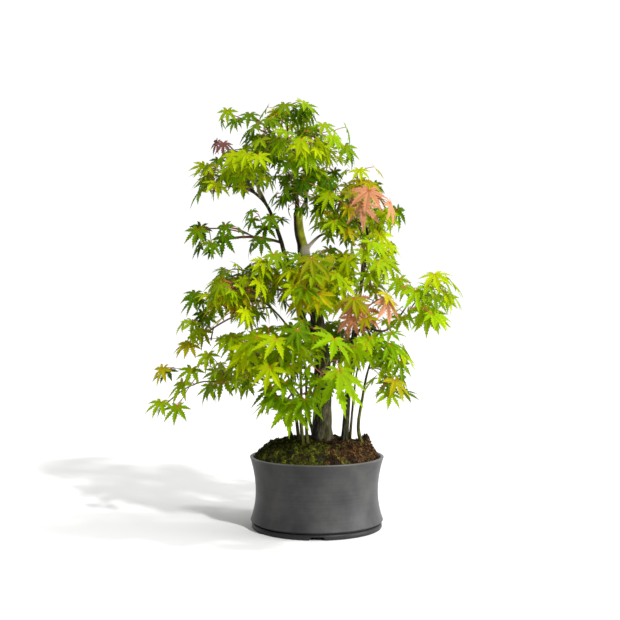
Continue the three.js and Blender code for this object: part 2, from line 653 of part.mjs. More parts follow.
/** One mass of leaves: a stem from its limb, twigs that branch from it, and leaves in pairs on the twigs. */
class Mass {
  constructor(sizes, number) {
    this.sizes = sizes;
    this.number = number;
    this.centre = new THREE.Vector3(...sizes.centre);
    this.half = new THREE.Vector3(...sizes.half);
    this.hub = this.centre.clone().addScaledVector(UP, LIFT_SHARE * sizes.blade);
    this.limb = limbs[sizes.limb];
    this.root = this.limb.place(sizes.at);
    this.shoots = [];
    this.leaves = [];
    this.pairs = Math.ceil((sizes.leaves - 1) / 2);
  }

  /** A seeded source of numbers for one try at one slot of the mass. */
  dice(slot, attempt) {
    return seeded(this.number * SEED_PER_MASS + slot * SEED_PER_SLOT + attempt);
  }

  /** How far out a place lies, where 1 is the surface of the mass. */
  depth(place) {
    return place.clone().sub(this.centre).divide(this.half).length();
  }

  /** Grows the stem from the limb to the fork behind the leading leaf. */
  growStem() {
    const { blade, face } = this.sizes;
    for (let attempt = 0; attempt < STEM_TRIES; attempt += 1) {
      const random = this.dice(0, attempt);
      const end = this.hub.clone().addScaledVector(levelWay(face), -STALK_SHARE * blade);
      const span = end.distanceTo(this.root);
      const swing = STEM_SWING * span * attempt;
      const arch = new THREE.Vector3(random() - 0.5, random() - 0.5, random() - 0.5).multiplyScalar(swing);
      arch.z += ARCH_SHARE * span;
      const stem = new Shoot(this.root, end, arch, STEM_RADII, STEM_STEPS);
      const leaving = this.limb.radius(this.sizes.at) + LEAVING;
      const free = stem.bars.stretches.filter(({ from }) => from.distanceTo(this.root) > leaving);
      const clearWay = clearOfLimbs(stem.bars, this.limb) && clearOfLimbs(bundle(free), null);
      if (clearWay && clearOfMasses(stem.bars, this)) {
        this.shoots.push(stem);
        return;
      }
    }
    throw new Error(`no way for the stem of ${this.sizes.name}`);
  }

  /** Grows the leading leaf at the middle of the mass. */
  growLeadingLeaf() {
    const { blade, face } = this.sizes;
    const fork = this.shoots[0].place(FORK_SHARE);
    this.growLeaf(1, fork, face, LEADING_RISE, LEADING_DIP, blade);
  }

  /** Grows one twig with a pair of leaves at its end. */
  growPair(pair) {
    const { blade, face } = this.sizes;
    const slot = 2 + 3 * pair;
    for (let attempt = 0; attempt < TRIES; attempt += 1) {
      const random = this.dice(slot, attempt);
      const turn = TURN_RANGE * ((pair + random()) / this.pairs - 0.5);
      const lift = LIFT_RANGE * (random() - 0.5);
      const out = raised(levelWay(face + turn), lift).multiply(this.half);
      const end = this.hub.clone().addScaledVector(out, TWIG_REACH);
      const from = this.shoots[0].place(TWIG_START + (1 - TWIG_START) * random());
      const arch = new THREE.Vector3(0, 0, ARCH_SHARE * from.distanceTo(end));
      const twig = new Shoot(from, end, arch, TWIG_RADII, TWIG_STEPS);
      if (clearOfPlant(twig.bars, this)) {
        const heading = face + HEADING_SHARE * turn;
        const length = blade * (1 - BLADE_SPREAD * random());
        const before = this.leaves.length;
        PAIR_FORKS.forEach((share, side) => {
          const bearing = heading + (2 * side - 1) * PAIR_TURN;
          this.growLeaf(slot + 1 + side, twig.place(share), bearing, PAIR_RISE, PAIR_DIP, length);
        });
        if (this.leaves.length > before) {
          this.shoots.push(twig);
          return;
        }
      }
    }
  }

  /** Grows one leaf from a fork, unless every try would leave the mass's space or touch something. */
  growLeaf(slot, fork, heading, rise, dip, length) {
    for (let attempt = 0; attempt < TRIES; attempt += 1) {
      const random = this.dice(slot, attempt);
      const sway = () => (random() - 0.5) * (LEAF_SWAY + SWAY_PER_TRY * attempt);
      const size = length * (1 - SHRINK_PER_TRY * attempt);
      const leaf = new Leaf(fork, heading + sway(), rise + sway(), dip + sway(), sway(), size);
      if (this.holds(leaf) && clearOfPlant(leaf.stalk, this) && clearOfPlant(leaf.lobes, null)) {
        this.leaves.push(leaf);
        return;
      }
    }
  }

  /** Whether a leaf keeps to the mass's own space: its foot nearest to this mass, its tips within reach. */
  holds(leaf) {
    const room = this.half.clone().addScalar(ROOM_SHARE * this.sizes.blade);
    const own = this.depth(leaf.foot);
    const tips = leaf.lobes.stretches.map(({ to }) => to);
    const within = tips.every((tip) => tip.clone().sub(this.centre).divide(room).length() < 1);
    const above = tips.every((tip) => tip.z > LOWEST_LEAF);
    return within && above && masses.every((mass) => mass === this || mass.depth(leaf.foot) > own);
  }

  /** The mass's solid, cut clear of the limb that it grows from. */
  solid() {
    const parts = [...this.shoots, ...this.leaves].map((part) => part.solid());
    const grown = parts.reduce((whole, part) => whole.add(part));
    return mainBody(grown.subtract(this.limb.solid(GAP)));
  }
}

/** Whether a bundle clears every limb but one. */
function clearOfLimbs(bars, except) {
  return Object.values(limbs).every((limb) => limb === except || clear(bars, limb.bars));
}

/** Whether a bundle clears all blades, and all stalks and shoots but those of one mass. */
function clearOfMasses(bars, except) {
  return masses.every((mass) => {
    const shoots = [...mass.shoots.map((shoot) => shoot.bars), ...mass.leaves.map((leaf) => leaf.stalk)];
    const woodIsClear = mass === except || shoots.every((shoot) => clear(bars, shoot));
    return woodIsClear && mass.leaves.every((leaf) => clear(bars, leaf.lobes));
  });
}

/** Whether a bundle clears all that has grown, but for the stalks and shoots of one mass. */
function clearOfPlant(bars, except) {
  return clearOfLimbs(bars, null) && clearOfMasses(bars, except);
}

// Assembly

const group = new THREE.Group();
const limbs = {};
for (const sizes of LIMBS) {
  limbs[sizes.name] = new Limb(sizes, limbs[sizes.carrier]);
}

const masses = [];
for (const sizes of MASSES) {
  masses.push(new Mass(sizes, masses.length + 1));
}
for (const mass of masses) {
  mass.growStem();
}
for (const mass of masses) {
  mass.growLeadingLeaf();
}
const rounds = Math.max(...masses.map((mass) => mass.pairs));
for (let round = 0; round < rounds; round += 1) {
  for (const mass of masses.filter(({ pairs }) => round < pairs)) {
    mass.growPair(round);
  }
}

let mound = moundSolid();
const placed = [];
addMesh("pot", potSolid(), "stoneware");
for (const limb of Object.values(limbs)) {
  let body = limb.solid(0);
  for (const earlier of placed) {
    body = body.subtract(earlier.solid(GAP));
  }
  addMesh(limb.name, mainBody(body), "bark");
  mound = mound.subtract(limb.solid(GAP));
  placed.push(limb);
}
addMesh("mound", mainBody(mound), "moss");
for (const mass of masses) {
  addMesh(`leaves_${mass.sizes.name}`, mass.solid(), mass.sizes.tint);
}

export default group;
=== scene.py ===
"""Dresses the potted japanese maple: its bark, twigs, lobed leaves, moss and stoneware pot, round the frame.

Sizes are in millimetres until a mesh is made, and in metres from there on. The plant grows here by the same
seeded rule as its solids, and the rule is then carried on to finer twigs with more leaves, each mass within
its own reach.
"""

import logging
import math
from collections.abc import Callable, Sequence
from dataclasses import dataclass, field
from enum import Enum

import bmesh
import bpy
import numpy as np
from mathutils import Matrix, Vector, noise

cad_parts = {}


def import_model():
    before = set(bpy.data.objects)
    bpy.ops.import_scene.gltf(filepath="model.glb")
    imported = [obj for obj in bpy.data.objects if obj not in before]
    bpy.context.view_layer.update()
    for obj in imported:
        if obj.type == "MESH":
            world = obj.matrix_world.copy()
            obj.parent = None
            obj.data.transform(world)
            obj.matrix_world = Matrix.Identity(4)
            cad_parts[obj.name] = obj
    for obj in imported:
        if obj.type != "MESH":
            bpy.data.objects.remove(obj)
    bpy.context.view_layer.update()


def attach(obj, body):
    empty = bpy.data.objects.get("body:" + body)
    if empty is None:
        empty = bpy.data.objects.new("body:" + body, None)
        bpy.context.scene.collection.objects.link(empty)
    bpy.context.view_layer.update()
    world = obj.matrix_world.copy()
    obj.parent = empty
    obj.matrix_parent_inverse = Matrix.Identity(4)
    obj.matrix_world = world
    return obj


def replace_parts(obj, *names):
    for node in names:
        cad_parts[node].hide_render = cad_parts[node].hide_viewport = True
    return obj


MM = 0.001
ROOT = "root"
UP = np.array((0.0, 0.0, 1.0))
LOG = logging.getLogger("maple")

# Types that recur: a finish keeps its numbers in the order that span, grain or emboss takes them
Pair = tuple[float, float]
Place = tuple[float, float, float]
Numbers = tuple[float, ...]
Stops = tuple[tuple[float, str], ...]
Source = Callable[[], float]
Array = np.ndarray
Shape = bmesh.types.BMesh
Node = bpy.types.Node
Tree = bpy.types.NodeTree

# Points of a mesh nearer than this are joined: those of a cut or mirrored shape, and those of a rolled one
MERGE = 1e-4
FINE_MERGE = 1e-5
# No twig runs this way, so its cross directions can be set by it
SELDOM_ALONG = (0.31, 0.22, 0.93)

# Pot
GAP = 0.3
POT_HEIGHT = 100.0
RIM_RADIUS = 95.0
WAIST_RADIUS = 86.6
WAIST_LEVEL = 50.0
BODY_RADIUS = 93.7
BODY_LEVEL = 11.0
BODY_CHAMFER = 1.6
FOOT_RADIUS = 92.0
FOOT_HEIGHT = 7.2
FOOT_CHAMFER = 1.2
GROOVE_RADIUS = 88.5
WALL = 5.0
LIP_ROUND = 1.6
POT_FLOOR = 12.0

# Mound
MOUND_EDGE = 96.0
MOUND_RISE = 25.0
DOME_POWER = 6
MOUND_LUMP = 1.6
LUMP_PITCH = 12.0
FOOT_DEPTH = 3.0
FOOT_SPARE = 5.0

# Limbs, stems, twigs and leaf stalks
TAPER_POWER = 1.25
FLARE_HEIGHT = 9.0
KNOT_LENGTH = 7.0
LIMB_STEP = 24.0
FEWEST_STEPS = 3
STEM_RADII = (2.1, 1.7)
TWIG_RADII = (1.0, 1.0)
STALK_RADIUS = 0.48
STEM_STEPS = 3
TWIG_STEPS = 1
ARCH_SHARE = 0.14
STEM_SWING = 0.05
LEAVING = 6.0
TWIG_START = 0.45
TWIG_REACH = 0.66
LIFT_SHARE = 0.2
STALK_SHARE = 0.6
FORK_SHARE = 0.9
PAIR_FORKS = (0.85, 0.93)

# How the leaves of a mass are set: turns, rises and dips in degrees
TURN_RANGE = 300.0
LIFT_RANGE = 130.0
HEADING_SHARE = 0.55
PAIR_TURN = 48.0
PAIR_RISE = 8.0
PAIR_DIP = 54.0
LEADING_RISE = 0.0
LEADING_DIP = 62.0
LEAF_SWAY = 30.0
SWAY_PER_TRY = 4.0
SHRINK_PER_TRY = 0.02
BLADE_SPREAD = 0.2

# Growing: seeds, tries and the room that each part keeps
WORD = 0xFFFFFFFF
SEED_STRIDE = 0x6D2B79F5
SEED_PER_MASS = 100003
SEED_PER_SLOT = 1013
STEM_TRIES = 60
TRIES = 24
CLEARANCE = 0.4
ROOM_SHARE = 0.62
LOWEST_LEAF = 128.0
LEAF_DROOP = 0.14
LOBE_HALF_WIDTH = 0.1
LOBE_TIPS = ((-80.0, 0.7), (-37.0, 0.94), (0.0, 1.0), (37.0, 0.94), (80.0, 0.7))

# The finer growth: sprigs on the twigs, each with a pair of smaller leaves
SPRIG_SLOT = 60
SPRIG_SHARE = 2.6
SPRIG_TRIES = 30
SPRIG_START = (0.25, 0.95)
SPRIG_TURN = (0.0, 360.0)
SPRIG_LIFT = (-89.6, 70.4)
SPRIG_REACH = (0.3, 0.95)
SPRIG_LENGTHS = (9.0, 50.0)
SPRIG_RADII = (0.7, 0.5)
SPRIG_BLADE = (0.75, 1.0)
SPRIG_SLIM = 0.45


class Tint(Enum):
    """The tints that the leaves are dealt in, by spray, with each one's material slot in the record."""

    BRIGHT = "leaf_bright_green"
    VIVID = "leaf_vivid_green"
    FRESH = "leaf_fresh_green"
    DEEP = "leaf_deep_green"
    BRONZE = "leaf_bronze"
    PINK = "leaf_pink"
    PURPLE = "leaf_purple"


@dataclass(frozen=True)
class LimbSizes:
    """A limb's radius at its foot and tip, its flare, knot and pale healed foot, and its way to its tip."""

    name: str
    foot: float
    tip: float
    way: tuple[Numbers, ...]
    flare: float = 0.0
    knot: Pair | None = None
    carrier: str | None = None
    at: float = 0.0
    healed: float = 0.0


@dataclass(frozen=True)
class MassSizes:
    """A mass of leaves: its limb and place along it, where it faces, its tint, middle, reach and leaves."""

    name: str
    limb: str
    at: float
    face: float
    tint: Tint
    centre: Place
    half: Place
    leaves: int
    blade: float
    fullness: float = 1.0


LIMBS = (
    LimbSizes("trunk", foot=14.6, tip=6.4, flare=3.4, knot=(0.82, 1.2),
              way=((7, 0), (8, 0, 234), (3, -1, 278), (-12, -5, 355), (-19, -6, 391), (-25, -4, 418),
                   (-27, 0, 448))),
    LimbSizes("stem_second", foot=5.2, tip=1.6, flare=1.4,
              way=((39, 5), (46, 1, 212), (52, -3, 272), (61, 0, 327), (72, 2, 400), (70, 0, 432))),
    LimbSizes("stem_right", foot=2.7, tip=1.2, flare=1.2,
              way=((66, 0), (59, 0, 137), (65, 0, 183), (73, -2, 222), (86, -6, 255))),
    LimbSizes("stem_slim", foot=2, tip=1, flare=0.5,
              way=((47, 25), (56, 20, 205), (64, 18, 250))),
    LimbSizes("stem_front", foot=2.4, tip=1.1, flare=1,
              way=((-13, -42), (-15, -42, 157), (-15, -45, 215), (-19, -52, 255))),
    LimbSizes("stem_arching", foot=2.7, tip=1.1, flare=0.8,
              way=((-19, -32), (-23, -28, 164), (-22, -28, 198), (-30, -34, 264), (-63, -40, 309),
                   (-81, -43, 320))),
    LimbSizes("stem_crossing", foot=2.3, tip=1.1, flare=0.6,
              way=((-2, 20), (-18, 14, 173), (-37, 8, 202), (-50, 5, 243))),
    LimbSizes("stem_left_low", foot=2.6, tip=1, flare=0.7,
              way=((-32, 24), (-65, 5, 196), (-86, 0, 212), (-104, -4, 215), (-148, -10, 205))),
    LimbSizes("stem_back", foot=2.7, tip=1.4, flare=0.7,
              way=((-25, 8), (-28, 15, 141), (-36, 34, 197), (-37, 44, 222))),
    LimbSizes("bough_tall_left", carrier="trunk", at=0.37, foot=5.4, tip=2,
              way=((-20, 8, 295), (-32, 10, 332), (-47, 8, 389), (-53, 5, 411), (-72, 0, 456),
                   (-94, -4, 477))),
    LimbSizes("bough_crown_left", carrier="trunk", at=0.98, foot=3.4, tip=1.3,
              way=((-30, -2, 476), (-34, -5, 511), (-42, -8, 543))),
    LimbSizes("bough_crown_right", carrier="trunk", at=0.97, foot=3.3, tip=1.3, knot=(0.16, 1),
              way=((-16, 3, 458), (-17, 5, 482), (-14, 8, 513), (-4, 8, 540))),
    LimbSizes("bough_knob", carrier="trunk", at=0.82, foot=3.2, tip=1.2, healed=24.0,
              way=((4, -15, 410), (20, -22, 415))),
    LimbSizes("bough_back_low", carrier="trunk", at=0.27, foot=3, tip=1.4,
              way=((14, 28, 240), (24, 50, 262))),
    LimbSizes("bough_back_high", carrier="trunk", at=0.56, foot=2.8, tip=1.3,
              way=((-2, 30, 322), (-2, 56, 340))),
    LimbSizes("bough_right_low", carrier="stem_second", at=0.47, foot=2.2, tip=1,
              way=((65, -8, 281), (92, -8, 276), (105, -5, 282), (119, 0, 299), (134, 0, 322))),
)

MASSES = tuple(MassSizes(*row) for row in (
    ("crown_peak", "bough_crown_left", 1, 10, Tint.FRESH, (-38, -18, 578), (31, 35, 25), 5, 33, 1.2),
    ("crown_outer_left", "bough_crown_left", 0.82, -25, Tint.DEEP, (-104, -5, 580), (25, 28, 20), 2, 27, 0.3),
    ("crown_right", "bough_crown_right", 1, 25, Tint.BRIGHT, (6, -20, 530), (36, 40, 36), 7, 36, 1.1),
    ("crown_front", "bough_crown_left", 0.47, 0, Tint.BRIGHT, (-29, -70, 514), (32, 35, 30), 5, 34, 1.5),
    ("crown_left", "bough_crown_left", 0.77, -20, Tint.FRESH, (-73, -42, 537), (36, 35, 28), 5, 32, 1.4),
    ("crown_purple", "bough_tall_left", 1, -30, Tint.PURPLE, (-122, -18, 525), (24, 25, 18), 2, 22, 0.0),
    ("crown_back", "bough_crown_right", 0.64, 175, Tint.DEEP, (-36, 60, 540), (56, 50, 45), 7, 34),
    ("crown_under", "bough_crown_left", 0.21, -5, Tint.DEEP, (-28, -42, 474), (34, 35, 33), 5, 31, 2.6),
    ("crown_under_right", "bough_crown_right", 0.36, 35, Tint.FRESH, (4, -15, 486), (25, 35, 31), 4, 31, 2.0),
    ("shoulder_left", "bough_tall_left", 0.97, -45, Tint.FRESH, (-140, -15, 484), (36, 38, 34), 5, 36),
    ("shoulder_front", "bough_tall_left", 0.93, -10, Tint.BRIGHT, (-94, -55, 494), (33, 35, 31), 5, 35, 1.3),
    ("shoulder_back", "bough_tall_left", 0.88, -150, Tint.DEEP, (-112, 50, 500), (45, 45, 40), 6, 34),
    ("shelf_left", "bough_tall_left", 0.66, -35, Tint.DEEP, (-142, -8, 400), (42, 38, 34), 4, 34, 0.3),
    ("shelf_inner", "bough_tall_left", 0.77, -10, Tint.DEEP, (-72, -35, 415), (25, 28, 30), 3, 30, 0.5),
    ("right_top", "stem_second", 1, 20, Tint.BRONZE, (64, 2, 484), (28, 30, 26), 4, 31, 0.6),
    ("right_pink", "stem_second", 0.97, 20, Tint.PINK, (63, -50, 451), (31, 32, 30), 3, 42),
    ("right_edge", "stem_second", 0.94, 25, Tint.BRIGHT, (86, -8, 412), (26, 40, 50), 6, 36),
    ("right_mid", "bough_knob", 1, 10, Tint.FRESH, (29, -45, 434), (30, 38, 38), 6, 36, 2.0),
    ("right_back", "stem_second", 0.88, 160, Tint.DEEP, (58, 58, 441), (48, 50, 52), 7, 34),
    ("mid_left_far", "stem_arching", 1, -45, Tint.DEEP, (-147, -15, 306), (32, 38, 34), 4, 38, 0.7),
    ("mid_left_top", "bough_tall_left", 0.47, -40, Tint.FRESH, (-112, 0, 342), (50, 38, 30), 6, 35),
    ("mid_left_front", "stem_arching", 0.97, -15, Tint.BRONZE, (-108, -58, 320), (44, 38, 35), 6, 38, 2.2),
    ("mid_left_back", "bough_tall_left", 0.37, -150, Tint.DEEP, (-101, 65, 328), (56, 48, 47), 7, 36),
    ("mid_centre_left", "bough_tall_left", 0.55, -15, Tint.FRESH, (-65, -40, 347), (34, 35, 34), 5, 33, 2.6),
    ("mid_low_left", "stem_arching", 0.91, -45, Tint.BRONZE, (-166, -10, 270), (37, 32, 28), 4, 31, 0.4),
    ("mid_centre", "trunk", 0.7, 0, Tint.BRONZE, (-8, -72, 342), (46, 38, 42), 7, 38, 1.9),
    ("mid_right_centre", "trunk", 0.63, 20, Tint.BRIGHT, (34, -50, 354), (34, 38, 36), 5, 38, 1.8),
    ("mid_right", "stem_second", 0.7, 30, Tint.BRIGHT, (75, -35, 364), (36, 38, 41), 6, 37, 1.3),
    ("mid_bronze", "bough_right_low", 0.22, 15, Tint.PINK, (67, -55, 305), (38, 35, 27), 4, 40),
    ("mid_back", "bough_back_high", 1, 180, Tint.DEEP, (0, 92, 338), (60, 48, 60), 7, 38),
    ("right_spray", "bough_right_low", 1, 15, Tint.BRIGHT, (150, -25, 306), (48, 45, 60), 9, 41, 0.6),
    ("low_left_far", "stem_left_low", 1, -40, Tint.FRESH, (-190, -15, 192), (44, 40, 56), 5, 38, 0.3),
    ("low_left_mid", "stem_left_low", 0.84, -30, Tint.FRESH, (-133, -22, 211), (36, 35, 34), 4, 38),
    ("low_left_front", "stem_crossing", 0.96, -20, Tint.BRIGHT, (-97, -60, 236), (39, 38, 35), 4, 46, 1.4),
    ("low_front_left", "stem_left_low", 0.33, -10, Tint.VIVID, (-35, -75, 171), (40, 38, 43), 4, 48, 0.5),
    ("low_centre_left", "stem_front", 0.82, -10, Tint.BRIGHT, (-60, -85, 243), (33, 35, 35), 4, 46, 1.1),
    ("low_centre", "stem_front", 1, 0, Tint.FRESH, (-19, -80, 253), (28, 32, 33), 4, 42, 1.1),
    ("low_front", "trunk", 0.3, 10, Tint.VIVID, (18, -95, 209), (37, 38, 63), 4, 60, 0.4),
    ("low_right", "stem_right", 1, 20, Tint.VIVID, (77, -45, 257), (36, 38, 41), 6, 40, 0.6),
    ("low_right_hang", "stem_right", 0.77, 45, Tint.FRESH, (101, -10, 215), (28, 38, 51), 5, 41),
    ("low_back_left", "stem_back", 1, -160, Tint.DEEP, (-80, 60, 232), (58, 48, 50), 7, 38),
    ("low_back_right", "bough_back_low", 1, 160, Tint.DEEP, (44, 66, 250), (58, 48, 50), 7, 40),
))


# Growth


def seeded(seed: int) -> Source:
    """Makes a seeded source of numbers from 0 to 1, the same on every run.

    Args:
        seed: The seed.

    Returns:
        A function that gives the next number.
    """
    state = seed & WORD

    def roll() -> float:
        """Gives the next number.

        Returns:
            A number from 0 to 1.
        """
        nonlocal state
        state = (state + SEED_STRIDE) & WORD
        mixed = ((state ^ (state >> 15)) * (state | 1)) & WORD
        mixed ^= (mixed + (((mixed ^ (mixed >> 7)) * (mixed | 61)) & WORD)) & WORD
        return (mixed ^ (mixed >> 14)) / (WORD + 1)

    return roll


def drawn(limits: Pair, random: Source) -> float:
    """Draws a number between two limits."""
    return limits[0] + (limits[1] - limits[0]) * random()


def level_way(degrees: float) -> Array:
    """Gives the level direction at an angle from the front, towards the right."""
    turn = math.radians(degrees)
    return np.array((math.sin(turn), -math.cos(turn), 0.0))


def raised(way: Array, degrees: float) -> Array:
    """Lifts a level direction by an angle."""
    return way * math.cos(math.radians(degrees)) + UP * math.sin(math.radians(degrees))


def pot_radius(level: float) -> float:
    """Gives the radius of the pot's outside at a level between the foot and the rim.

    Args:
        level: Height above the underside.

    Returns:
        The radius.
    """
    upper = level > WAIST_LEVEL
    span = POT_HEIGHT - WAIST_LEVEL if upper else WAIST_LEVEL - BODY_LEVEL
    widest = RIM_RADIUS if upper else BODY_RADIUS
    return WAIST_RADIUS + (widest - WAIST_RADIUS) * ((level - WAIST_LEVEL) / span) ** 2


MOUND_RADIUS = pot_radius(MOUND_EDGE) - WALL - GAP


def mound_top(x: float, y: float) -> float:
    """Gives the level of the mossy top over a place.

    Args:
        x: The place, towards the right.
        y: The place, towards the back.

    Returns:
        The level.
    """
    dome = max(0.0, 1 - (math.hypot(x, y) / MOUND_RADIUS) ** DOME_POWER)
    lump = math.sin(x / LUMP_PITCH + 1) * math.cos(y / LUMP_PITCH)
    return MOUND_EDGE + (MOUND_RISE + MOUND_LUMP * lump) * dome


class Way:
    """A smooth curve through points, measured along its length."""

    DIVISIONS = 200

    def __init__(self, points: Sequence[Array]) -> None:
        """Fits the curve.

        Args:
            points: The points that it goes through.
        """
        self.points = [np.asarray(point, float) for point in points]
        self.shares = np.linspace(0, 1, self.DIVISIONS + 1)
        places = np.array([self._at(share) for share in self.shares])
        steps = np.linalg.norm(np.diff(places, axis=0), axis=1)
        self.reached = np.concatenate(((0.0,), np.cumsum(steps)))
        self.length = float(self.reached[-1])

    def _at(self, share: float) -> Array:
        """Gives a point by the curve's own parameter.

        Args:
            share: The share of the parameter.

        Returns:
            The point.
        """
        spans = len(self.points) - 1
        before = min(int(math.floor(spans * share)), spans - 1)
        rest = spans * share - before
        p1, p2 = self.points[before], self.points[before + 1]
        p0 = self.points[before - 1] if before > 0 else 2 * self.points[0] - self.points[1]
        p3 = self.points[before + 2] if before + 2 <= spans else 2 * self.points[-1] - self.points[-2]
        d0, d1, d2 = (((b - a) @ (b - a)) ** 0.25 for a, b in ((p0, p1), (p1, p2), (p2, p3)))
        t1 = ((p1 - p0) / d0 - (p2 - p0) / (d0 + d1) + (p2 - p1) / d1) * d1
        t2 = ((p2 - p1) / d1 - (p3 - p1) / (d1 + d2) + (p3 - p2) / d2) * d1
        return p1 + t1 * rest + (3 * (p2 - p1) - 2 * t1 - t2) * rest**2 + (2 * (p1 - p2) + t1 + t2) * rest**3

    def place(self, share: float) -> Array:
        """Gives the point at a share of the length."""
        return self._at(float(np.interp(share * self.length, self.reached, self.shares)))


@dataclass
class Bars:
    """Straight bars: where each starts and ends, and how thick it is."""

    start: Array
    end: Array
    radius: Array

    @classmethod
    def along(cls, points: Array, radius: float | Array) -> "Bars":
        """Makes the bars that join a row of points."""
        return cls(points[:-1], points[1:], np.broadcast_to(radius, len(points) - 1))


class Thicket:
    """All the bars that have grown, for seeing whether a new one is clear of them."""

    LIMB, WOOD, BLADE = range(3)
    ROOM = 16384

    def __init__(self) -> None:
        """Starts with no bars."""
        self.count = 0
        self.start, self.end = np.zeros((2, self.ROOM, 3))
        self.radius = np.zeros(self.ROOM)
        self.kind, self.owner = np.zeros((2, self.ROOM), int)

    def add(self, bars: Bars, kind: int, owner: int) -> None:
        """Adds bars of one kind and one owner.

        Args:
            bars: The bars.
            kind: Their kind: LIMB, WOOD or BLADE.
            owner: The number of the limb or mass that they belong to.
        """
        rows = slice(self.count, self.count + len(bars.radius))
        self.start[rows], self.end[rows], self.radius[rows] = bars.start, bars.end, bars.radius
        self.kind[rows], self.owner[rows] = kind, owner
        self.count = rows.stop

    def clear(self, bars: Bars, no_limb: int = -1, no_mass: int = -1,
              kinds: tuple[int, ...] = (LIMB, WOOD, BLADE), slim: float = 1.0) -> bool:
        """Tells whether bars keep clear of those that have grown.

        Args:
            bars: The new bars.
            no_limb: A limb that doesn't count.
            no_mass: A mass whose wood doesn't count.
            kinds: The kinds that count.
            slim: How much of a blade's own width counts.

        Returns:
            True if they are clear.
        """
        kind, owner = self.kind[: self.count], self.owner[: self.count]
        counted = np.isin(kind, kinds)
        counted &= ((kind != self.LIMB) | (owner != no_limb)) & ((kind != self.WOOD) | (owner != no_mass))
        if not len(bars.radius):
            return True
        start, end = self.start[: self.count], self.end[: self.count]
        radius = self.radius[: self.count] * np.where(kind == self.BLADE, slim, 1.0)
        centre = (bars.start.mean(0) + bars.end.mean(0)) / 2
        ends = np.stack((bars.start, bars.end))
        reach = np.linalg.norm(ends - centre, axis=2).max(0)
        far = np.linalg.norm((start + end) / 2 - centre, axis=1) - np.linalg.norm(end - start, axis=1) / 2
        near = counted & (far < (reach + bars.radius).max() + radius + CLEARANCE)
        if not near.any():
            return True
        gaps = bar_distances(bars.start, bars.end, start[near], end[near])
        return bool((gaps > bars.radius[:, None] + radius[near][None, :] + CLEARANCE).all())


def bar_distances(a_start: Array, a_end: Array, b_start: Array, b_end: Array) -> Array:
    """Measures the least distance between each of some bars and each of others.

    Args:
        a_start: Starts of the first bars.
        a_end: Ends of the first bars.
        b_start: Starts of the other bars.
        b_end: Ends of the other bars.

    Returns:
        A table of distances.
    """
    along_a, along_b = a_end - a_start, b_end - b_start
    apart = a_start[:, None, :] - b_start[None, :, :]
    length_a, length_b = (along_a**2).sum(1)[:, None], (along_b**2).sum(1)[None, :]
    mixed = along_a @ along_b.T
    start_a = (along_a[:, None, :] * apart).sum(2)
    start_b = (along_b[None, :, :] * apart).sum(2)
    spread = length_a * length_b - mixed**2
    with np.errstate(divide="ignore", invalid="ignore"):
        share_a = np.where(spread > 0, np.clip((mixed * start_b - start_a * length_b) / spread, 0, 1), 0.0)
    share_b = (mixed * share_a + start_b) / length_b
    outside = (share_b < 0) | (share_b > 1)
    share_b = np.clip(share_b, 0, 1)
    share_a = np.where(outside, np.clip((mixed * share_b - start_a) / length_a, 0, 1), share_a)
    gap = apart + share_a[..., None] * along_a[:, None, :] - share_b[..., None] * along_b[None, :, :]
    return np.linalg.norm(gap, axis=2)


class Limb:
    """One tapering limb along its curve."""

    def __init__(self, sizes: LimbSizes, number: int, carrier: "Limb | None") -> None:
        """Lays the limb's curve.

        Args:
            sizes: Its sizes.
            number: Its number among the limbs.
            carrier: The limb that carries it, if any.
        """
        self.sizes = sizes
        self.number = number
        self.carrier = carrier
        way = [np.array(point, float) for point in sizes.way]
        if carrier:
            way.insert(0, carrier.curve.place(sizes.at))
        else:
            x, y = sizes.way[0][:2]
            way[0] = np.array((x, y, mound_top(x, y) - FOOT_DEPTH - FOOT_SPARE))
        self.curve = Way(way)
        self.steps = max(FEWEST_STEPS, math.floor(self.curve.length / LIMB_STEP + 0.5))
        shares = np.arange(self.steps + 1) / self.steps
        radii = np.array([self.radius(share) for share in shares])
        points = np.array([self.curve.place(share) for share in shares])
        self.bars = Bars.along(points, np.maximum(radii[:-1], radii[1:]))

    def radius(self, share: float) -> float:
        """Gives the radius, with the taper, the flare at the foot and the knot.

        Args:
            share: The share of the length.

        Returns:
            The radius.
        """
        sizes, length = self.sizes, self.curve.length
        radius = sizes.tip + (sizes.foot - sizes.tip) * (1 - share) ** TAPER_POWER
        radius += sizes.flare * math.exp((FOOT_SPARE - share * length) / FLARE_HEIGHT)
        if sizes.knot:
            radius += sizes.knot[1] * math.exp(-(((share - sizes.knot[0]) * length / KNOT_LENGTH) ** 2))
        return radius


